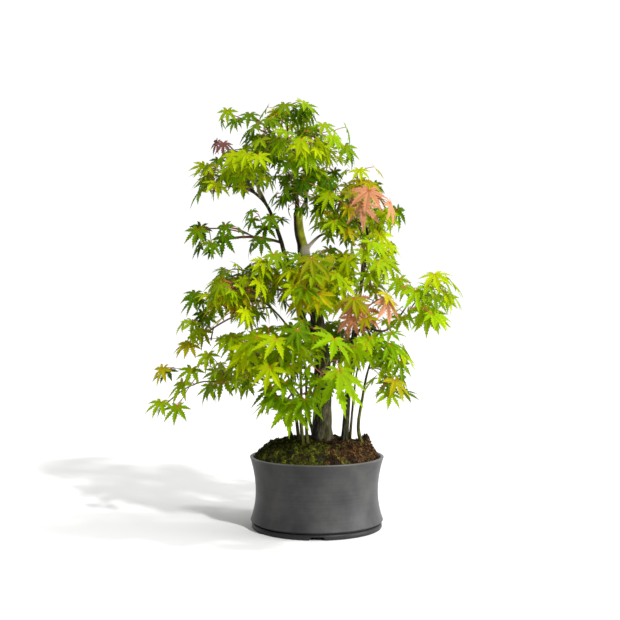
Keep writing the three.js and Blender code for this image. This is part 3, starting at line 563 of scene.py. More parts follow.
class Shoot:
    """A bar that tapers along an arch, tested along the straight stretches between its rings."""

    def __init__(self, start: Array, end: Array, arch: Array, radii: Pair, steps: int,
                 parent_radius: float) -> None:
        """Bends the shoot.

        Args:
            start: Where it starts.
            end: Where it ends.
            arch: How far its middle is pulled.
            radii: Its radius at both ends.
            steps: How many straight stretches it has.
            parent_radius: The radius of what it grows from.
        """
        self.bend = (start, (start + end) / 2 + arch, end)
        self.radii = (min(radii[0], parent_radius), min(radii[1], parent_radius))
        self.rings = np.array([self.bent(step / steps) for step in range(steps + 1)])
        self.bars = Bars.along(self.rings, radii[0])

    def bent(self, share: float) -> Array:
        """Gives the point on the smooth arch at a share of its parameter."""
        a, b, c = self.bend
        return (1 - share) ** 2 * a + 2 * share * (1 - share) * b + share**2 * c

    def place(self, share: float) -> Array:
        """Gives a point on the straight stretches.

        Args:
            share: The share of the stretches.

        Returns:
            The point.
        """
        at = share * (len(self.rings) - 1)
        before = min(math.floor(at), len(self.rings) - 2)
        return self.rings[before] + (self.rings[before + 1] - self.rings[before]) * (at - before)

    def radius(self, share: float) -> float:
        """Gives the radius at a share of the shoot."""
        return self.radii[0] + (self.radii[1] - self.radii[0]) * share


@dataclass
class LeafPlace:
    """Where one leaf is: its fork, the foot of its blade, and the blade's three directions and length."""

    fork: Array
    foot: Array
    along: Array
    across: Array
    normal: Array
    length: float
    tint: Tint = Tint.FRESH
    wood: Array | None = None

    @classmethod
    def set_out(cls, fork: Array, heading: float, rise: float, dip: float, roll: float,
                length: float) -> "LeafPlace":
        """Sets a leaf out from its fork.

        Args:
            fork: Where its stalk starts.
            heading: The way it points, from the front towards the right.
            rise: How far its stalk is lifted.
            dip: How far its blade hangs.
            roll: How far its blade is rolled.
            length: The blade's length.

        Returns:
            The leaf's place.
        """
        way = level_way(heading)
        foot = fork + raised(way, rise) * STALK_SHARE * length
        along, upright = raised(way, -dip), raised(way, 90 - dip)
        level = np.cross(upright, along)
        normal = upright * math.cos(math.radians(roll)) + level * math.sin(math.radians(roll))
        return cls(fork, foot, along, np.cross(normal, along), normal, length)

    def tips(self) -> Array:
        """Gives the tips of the large lobes, lowered by the blade's droop.

        Returns:
            A row for each tip.
        """
        rows = []
        for turn, reach in LOBE_TIPS:
            out = reach * self.length
            flat = self.along * math.cos(math.radians(turn)) + self.across * math.sin(math.radians(turn))
            rows.append(self.foot + flat * out - self.normal * LEAF_DROOP * reach * out)
        return np.array(rows)

    def stalk(self) -> Bars:
        """Gives the stalk's bar."""
        return Bars.along(np.array((self.fork, self.foot)), STALK_RADIUS)

    def lobes(self, slim: float = 1.0) -> Bars:
        """Gives the large lobes as bars.

        Args:
            slim: How much of their width counts.

        Returns:
            A bar for each lobe.
        """
        tips = self.tips()
        radius = np.full(len(tips), LOBE_HALF_WIDTH * self.length * slim)
        return Bars(np.broadcast_to(self.foot, tips.shape), tips, radius)


class Mass:
    """One mass of leaves: a stem from its limb, twigs that branch from it, and pairs of leaves on them."""

    def __init__(self, sizes: MassSizes, number: int, plant: "Plant") -> None:
        """Places the mass.

        Args:
            sizes: Its sizes.
            number: Its number among the masses.
            plant: The plant that it grows on.
        """
        self.sizes, self.number, self.plant = sizes, number, plant
        self.centre, self.half = np.array(sizes.centre, float), np.array(sizes.half, float)
        self.hub = self.centre + UP * LIFT_SHARE * sizes.blade
        self.limb = plant.limbs[sizes.limb]
        self.root = self.limb.curve.place(sizes.at)
        self.shoots: list[Shoot] = []
        self.leaves: list[LeafPlace] = []
        self.pairs = math.ceil((sizes.leaves - 1) / 2)

    def dice(self, slot: int, attempt: int) -> Source:
        """Gives the source of numbers for one try at one slot."""
        return seeded(self.number * SEED_PER_MASS + slot * SEED_PER_SLOT + attempt)

    def keep(self, shoot: Shoot) -> None:
        """Keeps a shoot that has grown."""
        self.shoots.append(shoot)
        self.plant.thicket.add(shoot.bars, Thicket.WOOD, self.number)

    def grow_stem(self) -> None:
        """Grows the stem from the limb to the fork behind the leading leaf."""
        thicket, sizes = self.plant.thicket, self.sizes
        thickness = self.limb.radius(sizes.at)
        for attempt in range(STEM_TRIES):
            random = self.dice(0, attempt)
            end = self.hub - level_way(sizes.face) * STALK_SHARE * sizes.blade
            span = float(np.linalg.norm(end - self.root))
            swing = STEM_SWING * span * attempt
            arch = np.array((random() - 0.5, random() - 0.5, random() - 0.5)) * swing + UP * ARCH_SHARE * span
            stem = Shoot(self.root, end, arch, STEM_RADII, STEM_STEPS, thickness)
            free = np.linalg.norm(stem.bars.start - self.root, axis=1) > thickness + LEAVING
            outer = Bars(stem.bars.start[free], stem.bars.end[free], stem.bars.radius[free])
            if (thicket.clear(stem.bars, no_limb=self.limb.number, kinds=(Thicket.LIMB,))
                    and thicket.clear(outer, kinds=(Thicket.LIMB,))
                    and thicket.clear(stem.bars, no_mass=self.number, kinds=(Thicket.WOOD, Thicket.BLADE))):
                self.keep(stem)
                return

    def grow_leading_leaf(self) -> None:
        """Grows the leading leaf at the middle of the mass."""
        stem, sizes = self.shoots[0], self.sizes
        self.grow_leaf(1, stem, FORK_SHARE, sizes.face, LEADING_RISE, LEADING_DIP, sizes.blade)

    def grow_pair(self, pair: int) -> None:
        """Grows one twig with a pair of leaves at its end.

        Args:
            pair: The number of the pair.
        """
        sizes, slot = self.sizes, 2 + 3 * pair
        for attempt in range(TRIES):
            random = self.dice(slot, attempt)
            turn = TURN_RANGE * ((pair + random()) / self.pairs - 0.5)
            lift = LIFT_RANGE * (random() - 0.5)
            end = self.hub + raised(level_way(sizes.face + turn), lift) * self.half * TWIG_REACH
            start = TWIG_START + (1 - TWIG_START) * random()
            twig = self.twig(self.shoots[0], start, end, TWIG_RADII)
            if self.plant.thicket.clear(twig.bars, no_mass=self.number):
                heading = sizes.face + HEADING_SHARE * turn
                length = sizes.blade * (1 - BLADE_SPREAD * random())
                if self.grow_two(slot, twig, heading, length):
                    return

    def twig(self, carrier: Shoot, share: float, end: Array, radii: Pair) -> Shoot:
        """Bends a twig out from a carrier.

        Args:
            carrier: The shoot that carries it.
            share: Where on the carrier it starts.
            end: Where it ends.
            radii: Its radii.

        Returns:
            The twig.
        """
        start = carrier.place(share)
        arch = UP * ARCH_SHARE * np.linalg.norm(end - start)
        made = Shoot(start, end, arch, radii, TWIG_STEPS, carrier.radius(share))
        made.bend = (carrier.bent(share), *made.bend[1:])
        return made

    def grow_two(self, slot: int, twig: Shoot, heading: float, length: float, slim: float = 1.0) -> bool:
        """Grows a pair of leaves near a twig's end, and keeps the twig if one of them finds room.

        Args:
            slot: The slot of the twig.
            twig: The twig.
            heading: The way that the pair points.
            length: The blades' length.
            slim: How much of the blades' width has to be clear.

        Returns:
            True if the twig is kept.
        """
        before = len(self.leaves)
        for side, share in enumerate(PAIR_FORKS):
            turned = heading + (2 * side - 1) * PAIR_TURN
            self.grow_leaf(slot + 1 + side, twig, share, turned, PAIR_RISE, PAIR_DIP, length, slim)
        if len(self.leaves) > before:
            self.keep(twig)
        return len(self.leaves) > before

    def grow_leaf(self, slot: int, twig: Shoot, share: float, heading: float, rise: float, dip: float,
                  length: float, slim: float = 1.0) -> None:
        """Grows one leaf, unless every try would leave the mass's space or touch something.

        Args:
            slot: The leaf's slot.
            twig: The shoot that it grows on.
            share: Where on the shoot.
            heading: The way it points.
            rise: How far its stalk is lifted.
            dip: How far its blade hangs.
            length: The blade's length.
            slim: How much of the blade's width has to be clear.
        """
        thicket = self.plant.thicket
        for attempt in range(TRIES):
            random = self.dice(slot, attempt)
            sway = LEAF_SWAY + SWAY_PER_TRY * attempt
            turns = [angle + (random() - 0.5) * sway for angle in (heading, rise, dip, 0.0)]
            leaf = LeafPlace.set_out(twig.place(share), *turns, length * (1 - SHRINK_PER_TRY * attempt))
            if (self.holds(leaf) and thicket.clear(leaf.stalk(), no_mass=self.number, slim=slim)
                    and thicket.clear(leaf.lobes(slim), slim=slim)):
                leaf.wood = twig.bent(share)
                leaf.tint = self.plant.dealt(self, len(self.leaves))
                self.leaves.append(leaf)
                thicket.add(leaf.stalk(), Thicket.WOOD, self.number)
                thicket.add(leaf.lobes(), Thicket.BLADE, self.number)
                return

    def grow_sprig(self, number: int) -> None:
        """Grows a finer twig with smaller leaves from any shoot of the mass.

        Args:
            number: The number of the sprig.
        """
        slot = SPRIG_SLOT + 3 * number
        for attempt in range(SPRIG_TRIES):
            random = self.dice(slot, attempt)
            carrier = self.shoots[int(random() * len(self.shoots))]
            share, turn = drawn(SPRIG_START, random), drawn(SPRIG_TURN, random)
            lift, reach = drawn(SPRIG_LIFT, random), drawn(SPRIG_REACH, random)
            end = self.hub + raised(level_way(turn), lift) * self.half * reach
            length = self.sizes.blade * drawn(SPRIG_BLADE, random)
            twig = self.twig(carrier, share, end, SPRIG_RADII)
            span = float(np.linalg.norm(end - twig.rings[0]))
            if SPRIG_LENGTHS[0] < span < SPRIG_LENGTHS[1] and self.plant.thicket.clear(
                    twig.bars, no_mass=self.number, slim=SPRIG_SLIM):
                out = end - self.centre
                heading = math.degrees(math.atan2(out[0], -out[1]))
                heading = self.sizes.face + HEADING_SHARE * ((heading - self.sizes.face + 180) % 360 - 180)
                if self.grow_two(slot, twig, heading, length, SPRIG_SLIM):
                    return

    def holds(self, leaf: LeafPlace) -> bool:
        """Tells whether a leaf keeps to the mass's own space, with its foot nearest to this mass of all.

        Args:
            leaf: The leaf.

        Returns:
            True if it does.
        """
        room = self.half + ROOM_SHARE * self.sizes.blade
        tips = leaf.tips()
        within = bool((np.linalg.norm((tips - self.centre) / room, axis=1) < 1).all())
        low, high = self.plant.reach
        if not within or tips[:, 2].min() <= LOWEST_LEAF or (tips < low).any() or (tips > high).any():
            return False
        depths = self.plant.depths(leaf.foot)
        return int((depths <= depths[self.number - 1]).sum()) == 1


class Plant:
    """The whole plant: its limbs, and the masses of leaves that grow from them."""

    # The share of leaves that keep their spray's tint, how the rest are shuffled, and the tints they take
    KEPT = 0.7
    KEPT_WARM = 0.42
    SHUFFLE = 1000
    NEIGHBOURS = {
        Tint.BRIGHT: (Tint.VIVID, Tint.FRESH, Tint.VIVID),
        Tint.VIVID: (Tint.FRESH, Tint.FRESH, Tint.BRIGHT),
        Tint.FRESH: (Tint.BRIGHT, Tint.DEEP, Tint.BRONZE),
        Tint.DEEP: (Tint.FRESH, Tint.DEEP, Tint.FRESH),
        Tint.BRONZE: (Tint.FRESH, Tint.BRIGHT, Tint.BRIGHT),
        Tint.PINK: (Tint.BRONZE, Tint.PINK, Tint.BRONZE),
        Tint.PURPLE: (Tint.PURPLE, Tint.BRONZE, Tint.PURPLE),
    }

    def __init__(self) -> None:
        """Lays out the limbs and the masses."""
        self.thicket = Thicket()
        self.limbs: dict[str, Limb] = {}
        for number, sizes in enumerate(LIMBS):
            limb = Limb(sizes, number, self.limbs.get(sizes.carrier or ""))
            self.limbs[sizes.name] = limb
            self.thicket.add(limb.bars, Thicket.LIMB, number)
        self.masses = [Mass(sizes, number + 1, self) for number, sizes in enumerate(MASSES)]
        self.reach = np.array((np.full(3, -np.inf), np.full(3, np.inf)))
        self.centres = np.array([mass.centre for mass in self.masses])
        self.halves = np.array([mass.half for mass in self.masses])

    def depths(self, place: Array) -> Array:
        """Tells how far out of each mass a place lies."""
        return np.linalg.norm((place - self.centres) / self.halves, axis=1)

    def dealt(self, mass: Mass, leaf: int) -> Tint:
        """Deals a leaf its tint: its spray's, or now and then a neighbouring one.

        Args:
            mass: The mass that it grows in.
            leaf: Its number in the mass.

        Returns:
            The tint.
        """
        roll = seeded(mass.number * SEED_PER_SLOT + leaf)()
        kept = self.KEPT_WARM if mass.sizes.tint in (Tint.PINK, Tint.BRONZE) else self.KEPT
        if leaf == 0 or roll < kept:
            return mass.sizes.tint
        others = self.NEIGHBOURS[mass.sizes.tint]
        return others[int(roll * self.SHUFFLE) % len(others)]

    def grow(self) -> None:
        """Grows stems, leading leaves and pairs as the solids do, and then the finer sprigs."""
        for mass in self.masses:
            mass.grow_stem()
        for mass in self.masses:
            mass.grow_leading_leaf()
        for pair in range(max(mass.pairs for mass in self.masses)):
            for mass in self.masses:
                if pair < mass.pairs:
                    mass.grow_pair(pair)
        tips = np.concatenate([leaf.tips() for mass in self.masses for leaf in mass.leaves])
        self.reach = np.array((tips.min(0), tips.max(0)))
        grown = sum(len(mass.leaves) for mass in self.masses)
        for number in range(max(self.sprigs(mass) for mass in self.masses)):
            for mass in self.masses:
                if number < self.sprigs(mass):
                    mass.grow_sprig(number)
        LOG.info("leaves of the solids %d, in all %d", grown, sum(len(mass.leaves) for mass in self.masses))

    def sprigs(self, mass: Mass) -> int:
        """Gives how many sprigs a mass grows."""
        return round(SPRIG_SHARE * mass.sizes.fullness * mass.sizes.leaves / 2 + 0.5)


# Shapes


@dataclass
class Pattern:
    """A small shape kept as arrays, to be copied many times into one mesh."""

    points: Array
    corners: Array
    sizes: Array
    notes: Array

    NOTE = "growth"

    @classmethod
    def taken(cls, made: Shape) -> "Pattern":
        """Takes the arrays from a bmesh, which is then let go.

        Args:
            made: The shape, with a vector on each vertex where it has a layer of notes.

        Returns:
            The pattern.
        """
        made.verts.index_update()
        layer = made.verts.layers.float_vector.get(cls.NOTE)
        taken = cls(
            np.array([vertex.co for vertex in made.verts]),
            np.array([vertex.index for face in made.faces for vertex in face.verts]),
            np.array([len(face.verts) for face in made.faces]),
            np.array([tuple(vertex[layer] if layer else vertex.co) for vertex in made.verts]),
        )
        made.free()
        return taken


class Heap:
    """Many placed copies of patterns, joined as one mesh."""

    def __init__(self) -> None:
        """Starts an empty heap."""
        self.copies: list[tuple[Array, ...]] = []
        self.count = 0

    def add(self, pattern: Pattern, points: Array, notes: Array) -> None:
        """Adds a copy of a pattern: where its points go, in millimetres, and the note that each carries."""
        self.copies.append((points * MM, pattern.corners + self.count, pattern.sizes, notes))
        self.count += len(points)

    def joined(self, name: str) -> bpy.types.Mesh:
        """Joins the copies.

        Args:
            name: The mesh's name.

        Returns:
            The mesh.
        """
        points, corners, sizes, notes = (np.concatenate(column) for column in zip(*self.copies))
        mesh = bpy.data.meshes.new(name)
        mesh.vertices.add(len(points))
        mesh.vertices.foreach_set("co", points.astype(np.float32).ravel())
        mesh.loops.add(len(corners))
        mesh.loops.foreach_set("vertex_index", corners.astype(np.int32))
        mesh.polygons.add(len(sizes))
        starts = np.concatenate(((0,), np.cumsum(sizes)[:-1]))
        mesh.polygons.foreach_set("loop_start", starts.astype(np.int32))
        mesh.update(calc_edges=True)
        mesh.validate()
        note = mesh.attributes.new(Pattern.NOTE, "FLOAT_VECTOR", "POINT")
        note.data.foreach_set("vector", notes.astype(np.float32).ravel())
        return mesh


def placed(name: str, data: bpy.types.ID) -> bpy.types.Object:
    """Makes an object and puts it in the scene.

    Args:
        name: Its name.
        data: Its mesh, light or camera.

    Returns:
        The object.
    """
    made = bpy.data.objects.new(name, data)
    bpy.context.scene.collection.objects.link(made)
    return made


def shown(mesh: bpy.types.Mesh, material: bpy.types.Material, crease: float) -> bpy.types.Object:
    """Shows a mesh as a piece of the object.

    Args:
        mesh: The mesh.
        material: Its material.
        crease: The angle, in degrees, past which an edge stays sharp.

    Returns:
        The piece.
    """
    mesh.materials.append(material)
    mesh.polygons.foreach_set("use_smooth", [True] * len(mesh.polygons))
    mesh.set_sharp_from_angle(angle=math.radians(crease))
    piece = placed(mesh.name, mesh)
    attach(piece, ROOT)
    LOG.info("%s: %d triangles", mesh.name, sum(len(face.vertices) - 2 for face in mesh.polygons))
    return piece


def modelled(made: Shape, name: str) -> bpy.types.Mesh:
    """Turns a bmesh in millimetres to a mesh in metres, and lets the bmesh go.

    Args:
        made: The bmesh.
        name: The mesh's name.

    Returns:
        The mesh.
    """
    bmesh.ops.scale(made, vec=(MM, MM, MM), verts=made.verts)
    mesh = bpy.data.meshes.new(name)
    made.to_mesh(mesh)
    made.free()
    return mesh


def rolled(rings: int, sides: int, shape: Callable[[float, float], Sequence[float]]) -> Shape:
    """Rolls a grid into a tube and closes its ends.

    Args:
        rings: Faces along the tube.
        sides: Faces round it.
        shape: Gives the place for a share along the tube and an angle round it.

    Returns:
        The closed shape.
    """
    made = bmesh.new()
    bmesh.ops.create_grid(made, x_segments=sides, y_segments=rings, size=0.5)
    for vertex in made.verts:
        vertex.co = shape(vertex.co.y + 0.5, 2 * math.pi * (vertex.co.x + 0.5))
    bmesh.ops.remove_doubles(made, verts=made.verts, dist=FINE_MERGE)
    bmesh.ops.holes_fill(made, edges=[edge for edge in made.edges if edge.is_boundary], sides=0)
    bmesh.ops.recalc_face_normals(made, faces=made.faces)
    return made


def smoothed(value: float) -> float:
    """Eases a share from 0 to 1."""
    value = min(1.0, max(0.0, value))
    return value * value * (3 - 2 * value)


# Finishes


def linear(code: str) -> Numbers:
    """Turns an sRGB hex colour to a linear one.

    Args:
        code: The hex colour.

    Returns:
        Red, green, blue and a full alpha.
    """
    parts = [int(code[i : i + 2], 16) / 255 for i in (1, 3, 5)]
    red, green, blue = (v / 12.92 if v <= 0.04045 else ((v + 0.055) / 1.055) ** 2.4 for v in parts)
    return (red, green, blue, 1.0)


# Sockets of the Mix node when it mixes colours, and its settings for a plain mix and an overlay
MIX_A, MIX_B = 6, 7
COLOURS = {"data_type": "RGBA"}
OVERLAY = COLOURS | {"blend_type": "OVERLAY"}


def over(code: str) -> dict:
    """Gives the settings of a Mix node that lays a colour over another."""
    return COLOURS | {MIX_B: linear(code)}


def span(low: float, high: float, to_low: float = 0.0, to_high: float = 1.0) -> dict:
    """Gives the settings of a Map Range node that turns low to to_low and high to to_high."""
    return {"From Min": low, "From Max": high, "To Min": to_low, "To Max": to_high}


def grain(pitch: float, detail: float, roughness: float = 0.5) -> dict:
    """Gives the settings of a Noise node whose pitch is in millimetres."""
    return {"Scale": 1 / (pitch * MM), "Detail": detail, "Roughness": roughness}


def emboss(strength: float, depth: float) -> dict:
    """Gives the settings of a Bump node whose depth is in millimetres."""
    return {"Strength": strength, "Distance": depth * MM}


def add(tree: Tree, kind: str, settings: dict | None = None, links: dict | None = None) -> Node:
    """Adds a node with its settings and links.

    Args:
        tree: The material's nodes.
        kind: The kind of node, without the prefix that they all have.
        settings: Values by an input's name or number or a property's name; "stops" fills a colour ramp.
        links: What feeds each input: a socket, or a node that feeds it by the first output in use.

    Returns:
        The node.
    """
    node = tree.nodes.new("ShaderNode" + kind)
    for key, value in (settings or {}).items():
        if key == "stops":
            elements = node.color_ramp.elements
            elements.remove(elements[1])
            elements[0].position = value[0][0]
            for at, _ in value[1:]:
                elements.new(at)
            for element, (_, code) in zip(elements, value):
                element.color = linear(code)
        elif isinstance(key, int) or key in node.inputs:
            node.inputs[key].default_value = value
        else:
            setattr(node, key, value)
    for key, source in (links or {}).items():
        if isinstance(source, Node):
            source = next(socket for socket in source.outputs if socket.enabled)
        tree.links.new(source, node.inputs[key])
    return node


class Finish:
    """A finish: the name of its material, and the nodes that draw it."""

    name: str

    def draw(self, tree: Tree) -> Node:
        """Draws the finish, which every kind does in its own way."""
        raise NotImplementedError

    def make(self) -> bpy.types.Material:
        """Makes the material.

        Returns:
            The material.
        """
        material = bpy.data.materials.new(self.name)
        material.use_nodes = True
        material.node_tree.nodes.clear()
        add(material.node_tree, "OutputMaterial", {}, {"Surface": self.draw(material.node_tree)})
        return material


@dataclass(frozen=True)
class Stoneware(Finish):
    """Unglazed stoneware, wheel-thrown and burnished: a dark satin body with faint level throwing lines."""

    name: str = "stoneware_thrown_satin"
    shades: Stops = ((0.32, "#323232"), (0.5, "#3b3b3b"), (0.7, "#454544"))
    worn: str = "#74726e"
    stain: str = "#4c423a"
    # Painted shade: the darker grey painted on the foot ring under the body's overhang
    foot: str = "#242424"
    cloud: Numbers = (38.0, 4.0, 0.55)
    line: Numbers = (1.5, 3.0, 0.6)
    line_waver: float = 6.0
    line_tone: float = 0.16
    line_relief: Numbers = (0.25, 0.5)
    # Real grit of 0.3 mm wouldn't show, so it is drawn at about 1 mm
    grit: Numbers = (1.1, 2.0)
    grit_relief: Numbers = (0.25, 0.3)
    lip: float = 2.2
    ash: Numbers = (0.62, 0.8, 0.0, 0.3)
    # Levels over which the painted shade on the foot fades out
    foot_shade_levels: Numbers = (FOOT_HEIGHT, FOOT_HEIGHT + 1.0)
    foot_shade_tone: Numbers = (0.8, 0.0)
    roughness: Numbers = (0.3, 0.46)
    sheen: float = 0.12
    ior: float = 1.5

    def draw(self, tree: Tree) -> Node:
        """Draws the stoneware.

        Args:
            tree: The material's nodes.

        Returns:
            The shader.
        """
        place = add(tree, "TexCoord").outputs["Object"]
        height = add(tree, "SeparateXYZ", {}, {0: place}).outputs["Z"]
        clouds = add(tree, "TexNoise", grain(*self.cloud), {"Vector": place})
        # The lines run level round the pot, so the noise is squeezed along its height
        pitch, detail, rough = self.line
        squeeze = {"Scale": (self.line_waver, self.line_waver, 1 / (pitch * MM))}
        squeezed = add(tree, "Mapping", squeeze, {"Vector": place})
        thrown = {"Scale": 1.0, "Detail": detail, "Roughness": rough}
        lines = add(tree, "TexNoise", thrown, {"Vector": squeezed})
        grit = add(tree, "TexNoise", grain(*self.grit), {"Vector": place})
        base = add(tree, "ValToRGB", {"stops": self.shades}, {"Fac": clouds})
        lined = add(tree, "Mix", OVERLAY | {"Factor": self.line_tone}, {MIX_A: base, MIX_B: lines})
        # The lip is rubbed paler in patches
        lip = add(tree, "MapRange", span((POT_HEIGHT - self.lip) * MM, POT_HEIGHT * MM), {"Value": height})
        rubbed = add(tree, "Math", {"operation": "MULTIPLY"}, {0: lip, 1: clouds})
        worn = add(tree, "Mix", over(self.worn), {"Factor": rubbed, MIX_A: lined})
        # A breath of brown ash in a few clouds
        ash = add(tree, "MapRange", span(*self.ash), {"Value": clouds})
        ashen = add(tree, "Mix", over(self.stain), {"Factor": ash, MIX_A: worn})
        # Painted shade: the foot ring below the body's overhang is painted darker, standing in for its shade
        low, high = (level * MM for level in self.foot_shade_levels)
        painted_foot_shade = add(tree, "MapRange", span(low, high, *self.foot_shade_tone), {"Value": height})
        colour = add(tree, "Mix", over(self.foot), {"Factor": painted_foot_shade, MIX_A: ashen})
        gloss = add(tree, "MapRange", span(0.0, 1.0, *self.roughness), {"Value": lines})
        relief = add(tree, "Bump", emboss(*self.line_relief), {"Height": lines})
        relief = add(tree, "Bump", emboss(*self.grit_relief), {"Height": grit, "Normal": relief})
        return add(tree, "BsdfPrincipled", {"IOR": self.ior, "Specular IOR Level": self.sheen},
                   {"Base Color": colour, "Roughness": gloss, "Normal": relief})


@dataclass(frozen=True)
class Bark(Finish):
    """Smooth maple bark, grown: dark grey-brown with fine cracks along the limb, and a film of green algae,
    light on the lit side as a painted highlight.
    """

    name: str = "maple_bark_smooth"
    shades: Stops = ((0.4, "#0b0906"), (0.5, "#1f1a15"), (0.64, "#453f37"))
    # A light algae green, brightened so that on the lit side it also stands for sunlight: a painted highlight
    algae: str = "#d2d63e"
    scar: str = "#eee0d4"
    crack: Numbers = (2.2, 5.0, 0.62)
    crack_squeeze: float = 0.22
    crack_relief: Numbers = (0.9, 1.4)
    patch: Numbers = (13.0, 3.0)
    mottled: float = 0.5
    # How far round each limb the algae reach from the side facing the lamps: real algae and a painted
    # highlight
    lit_side_highlight: Numbers = (-0.55, 0.15)
    broken: Numbers = (0.35, 0.55, 0.45, 0.95)
    roughness: float = 0.78
    sheen: float = 0.15

    def draw(self, tree: Tree) -> Node:
        """Draws the bark.

        Args:
            tree: The material's nodes.

        Returns:
            The shader.
        """
        coord = add(tree, "TexCoord")
        place = coord.outputs["Object"]
        # Cracks run up the limbs, so the noise is drawn out in height
        stretched = add(tree, "Mapping", {"Scale": (1.0, 1.0, self.crack_squeeze)}, {"Vector": place})
        cracks = add(tree, "TexNoise", grain(*self.crack), {"Vector": stretched})
        patches = add(tree, "TexNoise", grain(*self.patch), {"Vector": place})
        base = add(tree, "ValToRGB", {"stops": self.shades}, {"Fac": cracks})
        mottled = add(tree, "Mix", OVERLAY | {"Factor": self.mottled}, {MIX_A: base, MIX_B: patches})
        # The mesh notes old cuts, healed to pale rounds, and how far algae cover the limb
        note = add(tree, "Attribute", {"attribute_name": Pattern.NOTE}).outputs["Vector"]
        mark, grown, _ = add(tree, "SeparateXYZ", {}, {0: note}).outputs
        # The algae are laid only on the side facing the lamps: real algae and a painted highlight
        side = add(tree, "SeparateXYZ", {}, {0: coord.outputs["Normal"]}).outputs["X"]
        lit_side_highlight = add(tree, "MapRange", span(*self.lit_side_highlight), {"Value": side})
        both = add(tree, "Math", {"operation": "MULTIPLY"}, {0: grown, 1: lit_side_highlight})
        broken = add(tree, "MapRange", span(*self.broken), {"Value": patches})
        film = add(tree, "Math", {"operation": "MULTIPLY"}, {0: both, 1: broken})
        green = add(tree, "Mix", over(self.algae), {"Factor": film, MIX_A: mottled})
        colour = add(tree, "Mix", over(self.scar), {"Factor": mark, MIX_A: green})
        relief = add(tree, "Bump", emboss(*self.crack_relief), {"Height": cracks})
        return add(tree, "BsdfPrincipled", {"Roughness": self.roughness, "Specular IOR Level": self.sheen},
                   {"Base Color": colour, "Normal": relief})


@dataclass(frozen=True)
class YoungWood(Finish):
    """Skin of this year's wood, grown: smooth and faintly waxy, brown at its foot and coloured to its tip."""

    name: str
    old: str
    young: str
    fresh: str
    roughness: float
    young_from: float = 0.55
    greener: Numbers = (0.45, 1.0, 0.0, 0.85)
    speck: Numbers = (1.5, 2.0)
    speck_tone: float = 0.4
    speck_relief: Numbers = (0.3, 0.3)
    ior: float = 1.45

    def draw(self, tree: Tree) -> Node:
        """Draws the skin.

        Args:
            tree: The material's nodes.

        Returns:
            The shader.
        """
        note = add(tree, "Attribute", {"attribute_name": Pattern.NOTE}).outputs["Vector"]
        along, _, tone = add(tree, "SeparateXYZ", {}, {0: note}).outputs
        stops = ((0.0, self.old), (self.young_from, self.young))
        aged = add(tree, "ValToRGB", {"stops": stops}, {"Fac": along})
        # Some are greener than others
        greener = add(tree, "MapRange", span(*self.greener), {"Value": tone})
        tinted = add(tree, "Mix", over(self.fresh), {"Factor": greener, MIX_A: aged})
        place = add(tree, "TexCoord").outputs["Object"]
        specks = add(tree, "TexNoise", grain(*self.speck), {"Vector": place})
        colour = add(tree, "Mix", OVERLAY | {"Factor": self.speck_tone}, {MIX_A: tinted, MIX_B: specks})
        relief = add(tree, "Bump", emboss(*self.speck_relief), {"Height": specks})
        return add(tree, "BsdfPrincipled", {"Roughness": self.roughness, "IOR": self.ior},
                   {"Base Color": colour, "Normal": relief})


@dataclass(frozen=True)
class Blade(Finish):
    """A living maple leaf, thin and softly waxy: light glows through it, and its veins leave a red centre."""

    tint: Tint
    body: str
    light: str
    deep: str
    vein: str
    heart: str
    shades_at: Numbers = (0.12, 0.6, 1.0)
    mottle: Numbers = (9.0, 3.0)
    unevenness: float = 0.35
    # Side veins leave the middle vein about twelve times along a blade and slant forward
    rib_slant: float = -1.5
    rib_waves: float = 75.0
    ribs: Numbers = (0.6, 1.0, 0.0, 0.22)
    midrib: Numbers = (0.002, 0.012, 0.6, 0.0)
    centre: Numbers = (0.02, 0.13, 0.7, 0.0)
    vein_relief: Numbers = (0.5, 0.6)
    glow: float = 0.24
    roughness: float = 0.5
    sheen: float = 0.05
    ior: float = 1.4

    @property
    def name(self) -> str:
        """Gives the material's name by its tint."""
        return "maple_blade_" + self.tint.value.removeprefix("leaf_")

    def draw(self, tree: Tree) -> Node:
        """Draws the blade.

        Args:
            tree: The material's nodes.

        Returns:
            The shader.
        """
        note = add(tree, "Attribute", {"attribute_name": Pattern.NOTE}).outputs["Vector"]
        out, side, tone = add(tree, "SeparateXYZ", {}, {0: note}).outputs
        place = add(tree, "TexCoord").outputs["Object"]
        mottle = add(tree, "TexNoise", grain(*self.mottle), {"Vector": place})
        # Each leaf has its own tone, a little uneven over the blade
        uneven = add(tree, "Math", {"operation": "MULTIPLY_ADD", 1: self.unevenness}, {0: mottle, 2: tone})
        stops = tuple(zip(self.shades_at, (self.deep, self.body, self.light)))
        shade = add(tree, "ValToRGB", {"stops": stops}, {"Fac": uneven})
        slant = add(tree, "Math", {"operation": "MULTIPLY_ADD", 1: self.rib_slant}, {0: side, 2: out})
        wave = add(tree, "Math", {"operation": "MULTIPLY", 1: self.rib_waves}, {0: slant})
        wave = add(tree, "Math", {"operation": "SINE"}, {0: wave})
        ribs = add(tree, "MapRange", span(*self.ribs), {"Value": wave})
        middle = add(tree, "MapRange", span(*self.midrib), {"Value": side})
        veins = add(tree, "Math", {"operation": "MAXIMUM"}, {0: ribs, 1: middle})
        veined = add(tree, "Mix", over(self.vein), {"Factor": veins, MIX_A: shade})
        near = add(tree, "MapRange", span(*self.centre), {"Value": out})
        colour = add(tree, "Mix", over(self.heart), {"Factor": near, MIX_A: veined})
        relief = add(tree, "Bump", emboss(*self.vein_relief) | {"invert": True}, {"Height": veins})
        waxy = {"Roughness": self.roughness, "IOR": self.ior, "Specular IOR Level": self.sheen}
        skin = add(tree, "BsdfPrincipled", waxy, {"Base Color": colour, "Normal": relief})
        through = add(tree, "BsdfTranslucent", {}, {"Color": colour, "Normal": relief})
        return add(tree, "MixShader", {0: self.glow}, {1: skin, 2: through})


